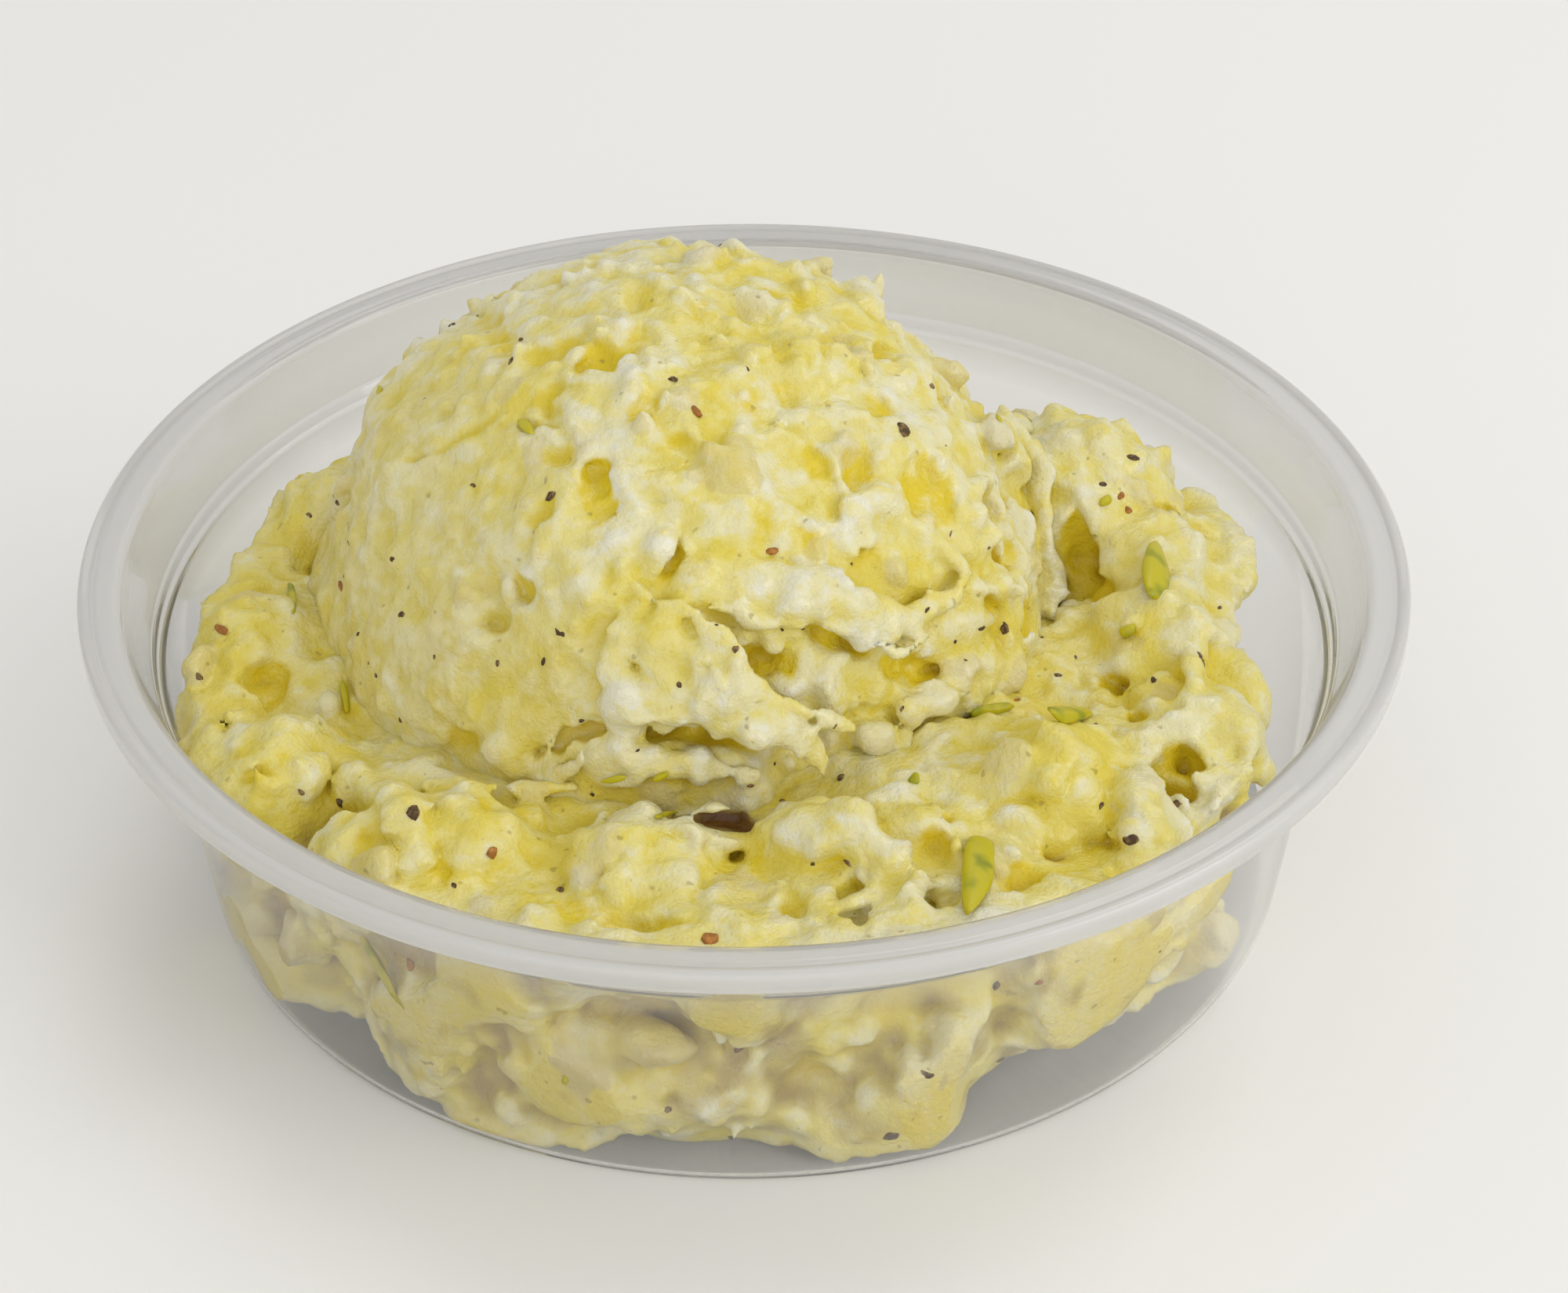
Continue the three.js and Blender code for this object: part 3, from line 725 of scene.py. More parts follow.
# distance to the scoop and bed without relief, at rows of points
def plainForm(points):
    x, y, z = points[:, 0], points[:, 1], points[:, 2]
    ball = np.linalg.norm(points - scoop["centre"], axis=1) - scoop["radius"]
    degrees = np.degrees(np.arctan2(y, x)) % 360
    form = np.maximum(np.hypot(x, y) - bedSide(degrees, z), z - bedTop(y))
    for x0, y0, z0, *halves in masses:
        mass = (np.linalg.norm((points - (x0, y0, z0)) / halves, axis=1) - 1) * min(halves)
        form = np.minimum(form, mass)
    form = np.maximum(form, np.hypot(x, y) - wallRadius(z) + cup["wall"])
    return np.minimum(form, np.maximum(ball, 20 - z))


# where the sight lines of pixels meet the plain form, its outward direction and mm for each pixel
def onPlainForm(pixels):
    lines = np.array([sightLine(u, v) for u, v in pixels])
    steps = np.arange(235.0, 370.0, 0.3)
    places = cameraPlace + lines[:, None, :] * steps[None, :, None]
    form = plainForm(places.reshape(-1, 3)).reshape(len(lines), -1)
    first = np.argmax(form < 0, 1)
    found = form.min(1) < 0
    closest = np.where(found, first, np.argmin(form, 1))  # a line that passes by takes its nearest point
    place = places[np.arange(len(lines)), closest]
    slopes = [plainForm(place + step) - plainForm(place - step) for step in np.eye(3) * 1.2]
    outward = np.stack(slopes, 1)
    outward = outward / np.linalg.norm(outward, axis=1, keepdims=True)
    return place, outward, steps[closest] / pixelsPerLens


# distance to a chain of balls whose radius changes evenly from each point to the next; lengths
# along the outward direction count flatness times, which makes the balls flat
def chainDistance(axes, part, points, radii, outward, flatness):
    x, y, z = spread([axis[s].astype(np.float32) for axis, s in zip(axes, part)])
    nearest = None
    stretch = flatness ** 2 - 1
    for a, b, ra, rb in zip(points[:-1], points[1:], radii[:-1], radii[1:]):
        way = b - a
        dx, dy, dz = x - a[0], y - a[1], z - a[2]
        t = np.clip((dx * way[0] + dy * way[1] + dz * way[2]) / max(way @ way, 1e-6), 0, 1)
        dx, dy, dz = dx - t * way[0], dy - t * way[1], dz - t * way[2]
        high = dx * outward[0] + dy * outward[1] + dz * outward[2]
        away = np.sqrt(dx ** 2 + dy ** 2 + dz ** 2 + stretch * high ** 2) - (ra + (rb - ra) * t)
        nearest = away if nearest is None else np.minimum(nearest, away)
    return nearest


# joins a stroke of the image to the field or cuts it out, and marks where it is
def applyStroke(field, marks, axes, stroke, width, cut=False):
    rows = np.array(stroke, float)
    place, outward, scale = onPlainForm(rows[:, :2])
    radii = rows[:, 2] * scale
    points = place + outward * rows[:, 3:4]
    if cut:
        points = points + outward * 0.25 * radii[:, None]
    if len(points) == 1:
        points = np.vstack([points, points + 0.01])
        radii = np.append(radii, radii)
    middle = (points.min(0) + points.max(0)) / 2
    across = np.linalg.norm(points - middle, axis=1).max() + radii.max() + width + 1
    part = nearby(axes, middle, across)
    if any(s.stop - s.start < 2 for s in part):
        return
    out = outward.mean(0) / np.linalg.norm(outward.mean(0))
    chain = chainDistance(axes, part, points, radii, out, 1.0 if cut else 1.5)
    field[part] = (cutSmooth if cut else joinSmooth)(field[part], chain, width)
    marks["given"][part] = np.maximum(marks["given"][part], smoothStep(1.2, 0.0, chain))
    if cut:
        # a cut's hollow gets painted golden shade
        marks["hollowShade"][part] = np.maximum(marks["hollowShade"][part], 0.55 * smoothStep(0.8, -0.2, chain))


# the slot, with whatever stands before it on the way to the camera cut away; its inside is painted dark
# brown as shade
def cutSlot(field, marks, axes):
    rows = np.array(slotStroke, float)
    place, outward, scale = onPlainForm(rows[:, :2])
    out = outward.mean(0) / np.linalg.norm(outward.mean(0))
    radii = rows[:, 2] * scale
    for ahead in np.arange(0.0, 10.0, 1.2):
        points = place + outward * rows[:, 3:4] + towardsCamera * ahead
        part = nearby(axes, points.mean(0), 5.5)
        if any(s.stop - s.start < 2 for s in part):
            continue
        chain = chainDistance(axes, part, points, radii, out, 1.0)
        field[part] = cutSmooth(field[part], chain, 0.25)
        # the slot's inside is marked for painted dark shade
        if ahead < 1:
            marks["slot"][part] = np.maximum(marks["slot"][part], smoothStep(0.8, 0.1, chain))


# pits with broken sides: each lump that is cut out has its middle just outside the surface
def imagePits(field, marks, axes, pits, random):
    rows = np.array(pits)
    place, outward, scale = onPlainForm(rows[:, :2])
    for (radius, depth), point, out, unit in zip(rows[:, 2:], place, outward, scale):
        across = radius * unit * 1.35
        deep = depth * (0.42 if depth < 2 else 0.85)
        high = max(deep * 1.5, 0.6 * across)
        shape = shapeAlong(out, across, high)
        centre = point + out * (0.9 * high - deep)
        # deeper pits get more painted golden shade
        hollowShade = min(1.0, 0.4 + depth / 3)
        lumpJoin(field, marks, axes, centre, shape, random, 0.7, cut=True, hollowShade=hollowShade)


# cut potato as lumps with flat sides, sunk in the mash
def imagePotato(field, marks, axes, rows, random):
    rows = np.array(rows)
    place, outward, scale = onPlainForm(rows[:, :2])
    for (across, through, high, sunk), point, out in zip(rows[:, 2:], place, outward):
        shape = np.diag([1 / across, 1 / through, 1 / high])
        lumpJoin(field, marks, axes, point - out * sunk, shape, random, 0.3, 1.0)


# joins or cuts one lump with flat broken sides; a cut may leave a hollow with painted golden shade
def lumpJoin(field, marks, axes, centre, shape, random, width, potato=0.0, cut=False, hollowShade=0.0):
    longest = 1 / np.linalg.norm(shape, -2)
    part = nearby(axes, centre, longest * 1.25 + width + 0.3)
    if any(s.stop - s.start < 2 for s in part):
        return
    lump = lumpDistance(axes, part, centre, shape, random, 8.0 if cut or potato else 5.5)
    was = field[part]
    if cut:
        field[part] = cutSmooth(was, lump, width)
        marks["hollowShade"][part] = np.maximum(marks["hollowShade"][part], hollowShade * smoothStep(0.7, -0.1, lump))
        return
    won = lump < was
    marks["tone"][part] = np.where(won, random.uniform(-1, 1), marks["tone"][part])
    marks["potato"][part] = np.where(won, potato, marks["potato"][part])
    field[part] = joinSmooth(was, lump, width)


# joins soft lumps, longer than wide, turned at random
def softLumps(field, marks, axes, points, radii, random, width):
    for point, radius in zip(points, radii):
        turn = np.linalg.qr(random.normal(size=(3, 3)))[0]
        halves = radius * random.uniform(0.7, 1.3, 3)
        part = nearby(axes, point, halves.max() * 1.1 + width + 0.4)
        if any(s.stop - s.start < 2 for s in part):
            continue
        ball = ballDistance(axes, part, point, turn, halves)
        was = field[part]
        marks["tone"][part] = np.where(ball < was, random.uniform(-1, 1), marks["tone"][part])
        field[part] = joinSmooth(was, ball, width)


# where lines from outside first meet the field, and its outward direction there
def meetField(field, axes, starts, inward, reach):
    steps = np.arange(0.0, reach, 0.3)
    places = starts[:, None, :] + inward[:, None, :] * steps[None, :, None]
    values = sampleAt(field, axes, places.reshape(-1, 3)).reshape(len(starts), -1)
    first = np.argmax(values < 0, 1)
    place = places[np.arange(len(starts)), first]
    slopes = [sampleAt(field, axes, place + way) - sampleAt(field, axes, place - way)
              for way in np.eye(3)]
    outward = np.stack(slopes, 1) + 1e-6
    return place, outward / np.linalg.norm(outward, axis=1, keepdims=True)


# places on the scoop's surface, spread evenly from its top down to the lowest height share
def scoopPlaces(field, axes, random, count):
    lowest = -0.05
    height = 1 - (1 - lowest) * (np.arange(count) + random.uniform(0, 1, count)) / count
    angle = np.arange(count) * math.pi * (3 - math.sqrt(5)) + random.uniform(-0.3, 0.3, count)
    flat = np.sqrt(1 - height ** 2)
    out = np.stack([flat * np.cos(angle), flat * np.sin(angle), height], 1)
    place, outward = meetField(field, axes, scoop["centre"] + out * (scoop["radius"] + 4.5), -out, 12.0)
    return place, outward, pressedShare(*out.T)


# how smooth the scoop's bowl pressed the salad there: 1 at the left, 0 at the right and the top
def pressedShare(x, y, z):
    return smoothStep(0.0, 0.62, -x - 0.35 * y - 0.42 * z)


# sizes between small and large, mostly small
def sizes(random, count, small, large):
    return mix(small, large, random.uniform(0, 1, count) ** 2.0)


# ranges in mm of what makes the relief: half sizes, how far it stands out or sinks in, and how widely
# it is blended with what is there
relief = {
    "chunkHalves": (1.3, 3.4), "chunkRise": (0.15, 0.9), "chunkBlend": 0.5, "potatoShare": 0.22,
    "lumpRadii": (0.6, 1.8), "lumpRise": (0.1, 0.6), "lumpBlend": 0.4,
    "hollowHalves": (0.8, 2.6), "hollowDepth": (0.15, 0.5), "hollowBlend": 0.6, "leastDepth": 0.12,
    "crumbRadii": (0.3, 0.8), "crumbBlend": 0.3,
}


# relief that any salad surface gets: chunks, soft lumps and broken hollows at places from the given
# function; each stands out or sinks in by a given depth, less where the surface is calm
def roughen(field, marks, axes, placesFor, values, random):
    place, outward, smooth = placesFor(values["chunks"])
    calm = np.maximum(smooth * 0.6, sampleAt(marks["given"], axes, place) * 0.6)
    halves = sizes(random, len(place), *relief["chunkHalves"])
    rise = mix(*relief["chunkRise"], random.uniform(0, 1, len(place))) * (1 - calm)
    for point, out, half, up in zip(place, outward, halves, rise):
        high = half * random.uniform(0.5, 0.9)
        potato = float(random.uniform(0, 1) < relief["potatoShare"])
        shape = shapeAlong(out, half, high)
        centre = point - out * (high - up)
        lumpJoin(field, marks, axes, centre, shape, random, relief["chunkBlend"], potato)
    place, outward, smooth = placesFor(values["lumps"])
    calm = np.maximum(smooth * 0.6, sampleAt(marks["given"], axes, place) * 0.3)
    radii = sizes(random, len(place), *relief["lumpRadii"])
    rise = mix(*relief["lumpRise"], random.uniform(0, 1, len(place))) * (1 - calm)
    centres = place - outward * (0.9 * radii - rise)[:, None]
    softLumps(field, marks, axes, centres, radii, random, relief["lumpBlend"])
    place, outward, smooth = placesFor(values["hollows"])
    calm = np.maximum(smooth * 0.9, sampleAt(marks["given"], axes, place))
    halves = sizes(random, len(place), *relief["hollowHalves"])
    depth = mix(*relief["hollowDepth"], random.uniform(0, 1, len(place))) * (1 - calm)
    for point, out, half, down in zip(place, outward, halves, depth):
        high = half * random.uniform(0.6, 0.9)
        shape = shapeAlong(out, half, high)
        if down > relief["leastDepth"]:
            centre = point + out * (0.9 * high - down)
            # hollows get a random share of painted golden shade
            blend, hollowShade = relief["hollowBlend"], random.uniform(0, 0.9)
            lumpJoin(field, marks, axes, centre, shape, random, blend, cut=True, hollowShade=hollowShade)


# small crumbs of mash on what is there
def crumble(field, marks, axes, placesFor, values, random):
    place, outward, smooth = placesFor(values["crumbs"])
    kept = random.uniform(0, 1, len(place)) > smooth * 0.85
    radii = sizes(random, len(place), *relief["crumbRadii"])
    points = place - outward * (radii * random.uniform(0.3, 0.9, len(place)))[:, None]
    softLumps(field, marks, axes, points[kept], radii[kept], random, relief["crumbBlend"])


# lumps with creases between them: the absolute value of smooth noise is creased where the noise is zero
def creases(axes, values, seed):
    folds = 0.8 - np.abs(latticeNoise(axes, 2.1, seed))
    bumps = latticeNoise(axes, 3.4, seed + 1)
    small = 0.8 - np.abs(latticeNoise(axes, 1.05, seed + 2))
    return values["folds"] * folds + values["middle"] * bumps + values["small"] * small


# strokes with a ball of 16 pixels or more are laid before the relief, the finer ones after it
def imageStrokes(field, marks, axes, strokes, early):
    for stroke in strokes:
        if (max(row[2] for row in stroke) >= 16) == early:
            applyStroke(field, marks, axes, stroke, 0.8 if early else 0.5)


def newMarks(shape, axes, seed):
    names = ("potato", "slot", "pressed", "given", "hollowShade")
    marks = {name: np.zeros(shape, np.float32) for name in names}
    marks["tone"] = latticeNoise(axes, 6.0, seed) * 0.4
    return marks


def scoopField():
    random = np.random.default_rng(11)
    centre = scoop["centre"]
    reach = scoop["radius"] + 5.0
    axes = gridAxes([centre[0] - reach, centre[1] - reach, 19.0], centre + reach, scoop["voxel"])
    x, y, z = spread(axes)
    dx, dy, dz = x - centre[0], y - centre[1], z - centre[2]
    away = np.maximum(np.sqrt(dx ** 2 + dy ** 2 + dz ** 2), 1.0)
    pressed = pressedShare(dx / away, dy / away, dz / away).astype(np.float32)
    rough = 1.0 - (1 - scoop["pressedRelief"]) * pressed
    field = (away - scoop["radius"] + latticeNoise(axes, 9.0, 30) * scoop["broad"]).astype(np.float32)
    marks = newMarks(field.shape, axes, 40)
    marks["pressed"] = pressed
    for stroke in scoopCuts + bedCuts:
        applyStroke(field, marks, axes, stroke, 0.4, True)
    imageStrokes(field, marks, axes, scoopStrokes, True)

    def placesFor(count):
        return scoopPlaces(field, axes, random, count)

    roughen(field, marks, axes, placesFor, scoop, random)
    imagePits(field, marks, axes, scoopPits, random)
    imagePotato(field, marks, axes, scoopPotato, random)
    imageStrokes(field, marks, axes, scoopStrokes, False)
    field += (creases(axes, scoop, 31) * rough).astype(np.float32)
    crumble(field, marks, axes, placesFor, scoop, random)
    cutSlot(field, marks, axes)
    field += latticeNoise(axes, 1.0, 33) * scoop["fine"] * (0.4 + 0.6 * rough)
    return np.maximum(field, 19.5 - z).astype(np.float32), marks, axes


# places on the bed's surface, half of them on its top and half on its side
def bedPlaces(field, axes, random, count):
    half = count // 2
    angle = np.arange(half) * math.pi * (3 - math.sqrt(5)) + random.uniform(-0.2, 0.2, half)
    reach = (edgeRadius(np.degrees(angle) % 360) - 0.5) * np.sqrt(np.linspace(0.22, 1, half))
    tops = np.stack([reach * np.cos(angle), reach * np.sin(angle), np.full(half, 38.0)], 1)
    down = np.tile([0.0, 0.0, -1.0], (half, 1))
    angle = random.uniform(0, 2 * np.pi, half)
    height = mix(liftOff(np.degrees(angle)) + 2.5, bed["height"], random.uniform(0, 1, half))
    out = np.stack([np.cos(angle), np.sin(angle), np.zeros(half)], 1)
    sides = out * 52.0 + np.stack([0 * height, 0 * height, height], 1)
    place, outward = meetField(field, axes, np.vstack([tops, sides]), np.vstack([down, -out]), 26.0)
    return place, outward, np.zeros(len(place))


def bedField():
    random = np.random.default_rng(12)
    floor = cup["wall"] - bed["intoWall"]
    axes = gridAxes([-52.5, -54.5, -0.5], [51.0, 49.5, 38.5], bed["voxel"])
    x, y, z = spread(axes)
    radius = np.sqrt(x ** 2 + y ** 2)
    degrees = np.degrees(np.arctan2(y, x)) % 360
    broad = latticeNoise(axes, 9.0, 60) * bed["broad"]
    atSide = smoothStep(41.0, 45.0, radius) * smoothStep(27.0, 23.0, z)
    field = np.maximum(radius - bedSide(degrees, z), z - bedTop(y)) + broad
    field = field + atSide * (bed["sideBack"] + bed["sideRelief"] * latticeNoise(axes, 4.4, 65))
    lift = liftOff(degrees)
    under = lift * smoothStep(edgeRadius(degrees) - 16, edgeRadius(degrees) - 2, radius) - z
    field = -joinSmooth(-field, -(under + 0.4 * broad), 1.5)
    field = field.astype(np.float32)
    marks = newMarks(field.shape, axes, 70)
    for x0, y0, z0, *halves in masses:
        joinBall(field, axes, (x0, y0, z0), halves, 1.0)
    for stroke in bedCuts:
        applyStroke(field, marks, axes, stroke, 0.4, True)
    imageStrokes(field, marks, axes, bedStrokes, True)

    def placesFor(count):
        return bedPlaces(field, axes, random, count)

    roughen(field, marks, axes, placesFor, bed, random)
    imagePits(field, marks, axes, bedPits, random)
    imagePotato(field, marks, axes, bedPotato, random)
    imageStrokes(field, marks, axes, bedStrokes, False)
    field += creases(axes, bed, 61)
    crumble(field, marks, axes, placesFor, bed, random)
    cutSlot(field, marks, axes)
    field += latticeNoise(axes, 1.1, 63) * bed["fine"]
    room = radius - (wallRadius(z) - cup["wall"] + bed["intoWall"])
    return np.maximum(np.maximum(field, room), floor - z).astype(np.float32), marks, axes


# smooth random moves at points: a random lattice blended by cubic B-spline weights
def noiseAt(points, spacing, seed, channels=3):
    random = np.random.default_rng(seed)
    place = (points - points.min(0)) / spacing
    whole = np.floor(place).astype(int)
    t = place - whole
    lattice = random.uniform(-1, 1, (*(whole.max(0) + 4), channels))
    weights = np.stack([(1 - t) ** 3, 3 * t ** 3 - 6 * t ** 2 + 4,
                        -3 * t ** 3 + 3 * t ** 2 + 3 * t + 1, t ** 3]) / 6
    total = np.zeros((len(points), channels))
    for i in range(4):
        for j in range(4):
            for k in range(4):
                share = weights[i, :, 0] * weights[j, :, 1] * weights[k, :, 2]
                total += share[:, None] * lattice[whole[:, 0] + i, whole[:, 1] + j, whole[:, 2] + k]
    return total * 2.5


# fewer faces where the mesh is smooth, by the Decimate modifier, applied
def thinned(piece, triangles, most):
    modifier = piece.modifiers.new("fewer", "DECIMATE")
    modifier.ratio = min(1.0, most / triangles)
    graph = bpy.context.evaluated_depsgraph_get()
    mesh = bpy.data.meshes.new_from_object(piece.evaluated_get(graph))
    piece.modifiers.clear()
    piece.data = mesh
    points = np.empty(len(mesh.vertices) * 3, np.float32)
    mesh.vertices.foreach_get("co", points)
    return points.reshape(-1, 3) / mm


# how yellow a place is: hollow places are, as painted shade, and what stands out is paler, as painted
# light; the left end is yellower, as painted shade; lumps go by their own tone and patches at random.
# Hollow is twice the solid share of a small cube round the place, minus 1, near and far
def paintedShadingAndTone(solid, step, marks, axes, points, seed):
    near = sampleAt(boxMean(solid, max(1, round(0.9 / step))), axes, points) * 2 - 1
    far = sampleAt(boxMean(solid, round(2.6 / step)), axes, points) * 2 - 1
    patches = sum(noiseAt(points, spacing, seed + i, 1)[:, 0] * share
                  for i, (spacing, share) in enumerate([(3.4, 0.16), (1.6, 0.15), (0.9, 0.12)]))
    # painted shade and light: hollow places score high and turn yellow, what stands out scores low and
    # turns cream
    form = np.maximum(0.4 * near + 0.6 * far, -0.2)
    # painted shade: the lumps at the left end made yellower, as they stand in shade
    left = 0.18 * smoothStep(-33.0, -42.0, points[:, 0])
    return form + patches + left - 0.24 * sampleAt(marks["tone"], axes, points), form


# the salad's mesh with what its material reads
def makeSaladPiece(name, made, warp, seed, shift, most=192000):
    field, marks, axes = made
    step = float(axes[0][1] - axes[0][0])
    solid = np.clip(0.5 - field / (2 * step), 0, 1)
    points, quads = skinOf(field, axes)
    points, quads = largestPart(points, quads)
    piece = makeObject(name, relax(points, quads, 0.3), quads)
    points = thinned(piece, len(quads) * 2, most)
    yellow, form = paintedShadingAndTone(solid, step, marks, axes, points, seed)
    addAttribute(piece, "yellow", yellow + shift)
    addAttribute(piece, "form", form)
    for label in ("potato", "slot", "pressed", "hollowShade"):
        addAttribute(piece, label, sampleAt(marks[label], axes, points))
    inside = wallRadius(points[:, 2]) - cup["wall"] - np.hypot(points[:, 0], points[:, 1])
    inside = np.minimum(inside, points[:, 2] - cup["wall"])
    addAttribute(piece, "against", smoothStep(0.9, 0.1, inside))
    # side: the band along the wall below the bed's top, whose recesses get painted brown shade
    addAttribute(piece, "side", smoothStep(6.0, 3.5, inside) * smoothStep(24.0, 22.0, points[:, 2]))
    moved = points + warp(points)
    piece.data.vertices.foreach_set("co", (moved * mm).astype(np.float32).ravel())
    piece.data.update()
    print(name, len(quads) * 2, "triangles, thinned to", len(piece.data.polygons))
    return piece


# bends lumps and edges out of true: moves of half a millimetre and less
def scoopWarp(points):
    return 0.42 * noiseAt(points, 3.4, 81) + 0.14 * noiseAt(points, 1.3, 82)


# as the scoop's, but nothing moves through the cup's wall or floor
def bedWarp(points):
    inside = wallRadius(points[:, 2]) - cup["wall"] - np.hypot(points[:, 0], points[:, 1])
    share = smoothStep(0.0, 2.0, np.minimum(inside, points[:, 2] - cup["wall"]))
    moves = 0.42 * noiseAt(points, 3.4, 83) + 0.14 * noiseAt(points, 1.3, 84)
    return moves * share[:, None]


saladColours = {
    "white": screenColour(223, 220, 196),
    "cream": screenColour(222, 215, 168),
    "body": screenColour(221, 209, 126),
    "yellow": screenColour(218, 201, 84),
    # deep: painted golden shade for hollows; shade: darker painted shade for the deepest
    "deep": screenColour(218, 195, 38),
    "shade": screenColour(180, 150, 22),
    # pressed and pale: the smooth pressed mash at the left, partly its own colour and partly painted
    # shade of that side
    "pressed": screenColour(200, 184, 88),
    "pale": screenColour(216, 206, 150),
    "smeared": screenColour(223, 205, 106),
    # brownish: painted shade for recesses along the side behind the wall
    "recessShadeBrown": screenColour(150, 124, 68),
    "potato": screenColour(204, 190, 136),
    "speck": screenColour(140, 122, 50),
    # slot: painted shade, dark brown, for the inside of the slot
    "slot": screenColour(102, 64, 20),
}


# sizes in mm of the mash's patterns, and its bump
mashLook = {
    "grain": 0.8, "specks": 1.2, "patches": 2.2, "blotches": 5.0, "bumpStrength": 0.7, "bumpDepth": 0.38,
}


# moist mash: cream on what stands out and yellow where it is hollow, as painted light and shade over the
# mash's own tone, with a wet sheen in places
def saladMaterial(name):
    m = Maker(name)
    grain = m.noise(mashLook["grain"], 2.0, 0.7)
    blotches = m.noise(mashLook["blotches"], 1.0, 0.5)
    # cream to yellow by the attribute: its hollow part is painted shade, its paler crests painted light,
    # the rest the mash's own tone
    yellow = m.attribute("yellow") + (grain - 0.5) * 0.6
    colour = m.mixColour(yellow.step(-0.52, -0.26), saladColours["white"], saladColours["cream"])
    colour = m.mixColour(yellow.step(-0.24, 0.04), colour, saladColours["body"])
    colour = m.mixColour(yellow.step(0.04, 0.34), colour, saladColours["yellow"])
    patches = m.noise(mashLook["patches"], 1.0, 0.5)
    form = m.attribute("form")
    # painted shade: hollows and cut hollows turn golden, broken up by grain and patches
    deep = form * 1.2 + m.attribute("hollowShade") * 0.6 + (grain - 0.5) * 0.4 + (patches - 0.5) * 0.9
    colour = m.mixColour(deep.step(0.16, 0.74), colour, saladColours["deep"])
    colour = m.mixColour(form.step(0.3, 0.62) * 0.8, colour, saladColours["shade"])
    # the smooth pressed side: mottled between a darker and a paler colour, partly the mash's own colour
    # and partly painted shade of that side
    pressed = m.attribute("pressed") * (patches * 0.8 + blotches * 1.4 - 0.6).clamp()
    pressed = pressed * (1.0 - m.attribute("hollowShade") * 0.8) * yellow.step(-0.5, 0.0)
    smooth = m.mixColour(patches.step(0.4, 0.62), saladColours["pressed"], saladColours["pale"])
    colour = m.mixColour(pressed, colour, smooth)
    against = m.attribute("against")
    colour = m.mixColour(against * (0.45 + yellow * 0.5).clamp(), colour, saladColours["smeared"])
    # painted shade: recesses in the band along the wall turn brown, spread by random blotches
    recessShadeShare = m.attribute("side") * (form * 2.6 + blotches * 2.6 - 1.15).clamp()
    colour = m.mixColour(recessShadeShare * 0.85, colour, saladColours["recessShadeBrown"])
    potato = m.attribute("potato").step(0.3, 0.7) * (0.45 + against * 0.4)
    colour = m.mixColour(potato, colour, saladColours["potato"])
    specks = m.noise(mashLook["specks"], 1.0, 0.4).step(0.73, 0.79)
    colour = m.mixColour(specks * 0.5, colour, saladColours["speck"])
    # painted shade: the inside of the slot dark brown
    colour = m.mixColour(m.attribute("slot"), colour, saladColours["slot"])
    wet = blotches.step(0.44, 0.6)
    m.set(Base_Color=colour, Roughness=0.46 - wet * 0.14, Coat_Weight=wet * 0.5, Coat_Roughness=0.12,
          Subsurface_Weight=0.3, Subsurface_Radius=(1.0, 0.75, 0.3), Subsurface_Scale=1.0 * mm,
          IOR=1.42, Normal=m.bump(grain, mashLook["bumpStrength"], mashLook["bumpDepth"]))
    return m.material


def greenMaterial():
    m = Maker("cutGreens")
    streak = m.noise(3.0, 2.0, 0.5)
    colour = m.mixColour(streak.step(0.3, 0.52), screenColour(134, 140, 0), screenColour(190, 178, 4))
    m.set(Base_Color=colour, Roughness=0.42 + (streak - 0.5) * 0.2, Coat_Weight=0.2, Coat_Roughness=0.15,
          IOR=1.42, Normal=m.bump(streak, 0.3, 0.1))
    return m.material


def pepperMaterial(name, dark, light):
    m = Maker(name)
    speck = m.noise(0.5, 3.0, 0.6)
    colour = m.mixColour(speck.step(0.42, 0.68), dark, light)
    m.set(Base_Color=colour, Roughness=0.62 + (speck - 0.5) * 0.2, IOR=1.35,
          Normal=m.bump(speck, 0.5, 0.1))
    return m.material


# clear pressed plastic: a refracting wall that lets lamps through, veiled where it is milky
def plasticMaterial():
    m = Maker("clearPlastic")
    m.set(Base_Color=(0.97, 0.97, 0.965), Roughness=0.04, Transmission_Weight=1.0, IOR=1.47)
    tree = m.tree
    milk = tree.nodes.new("ShaderNodeBsdfPrincipled")
    milk.inputs["Base Color"].default_value = (0.64, 0.63, 0.61, 1)
    milk.inputs["Roughness"].default_value = 0.22
    veiled = tree.nodes.new("ShaderNodeMixShader")
    tree.links.new(m.attribute("milk").socket, veiled.inputs[0])
    tree.links.new(m.shader.outputs[0], veiled.inputs[1])
    tree.links.new(milk.outputs[0], veiled.inputs[2])
    clear = tree.nodes.new("ShaderNodeBsdfTransparent")
    clear.inputs["Color"].default_value = (0.99, 0.99, 0.985, 1)
    path = tree.nodes.new("ShaderNodeLightPath")
    lit = tree.nodes.new("ShaderNodeMixShader")
    tree.links.new(path.outputs["Is Shadow Ray"], lit.inputs[0])
    tree.links.new(veiled.outputs[0], lit.inputs[1])
    tree.links.new(clear.outputs[0], lit.inputs[2])
    tree.links.new(lit.outputs[0], m.output.inputs["Surface"])
    return m.material


def finishPiece(piece, material, node):
    piece.data.materials.append(material)
    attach(piece, "root")
    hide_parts(node)


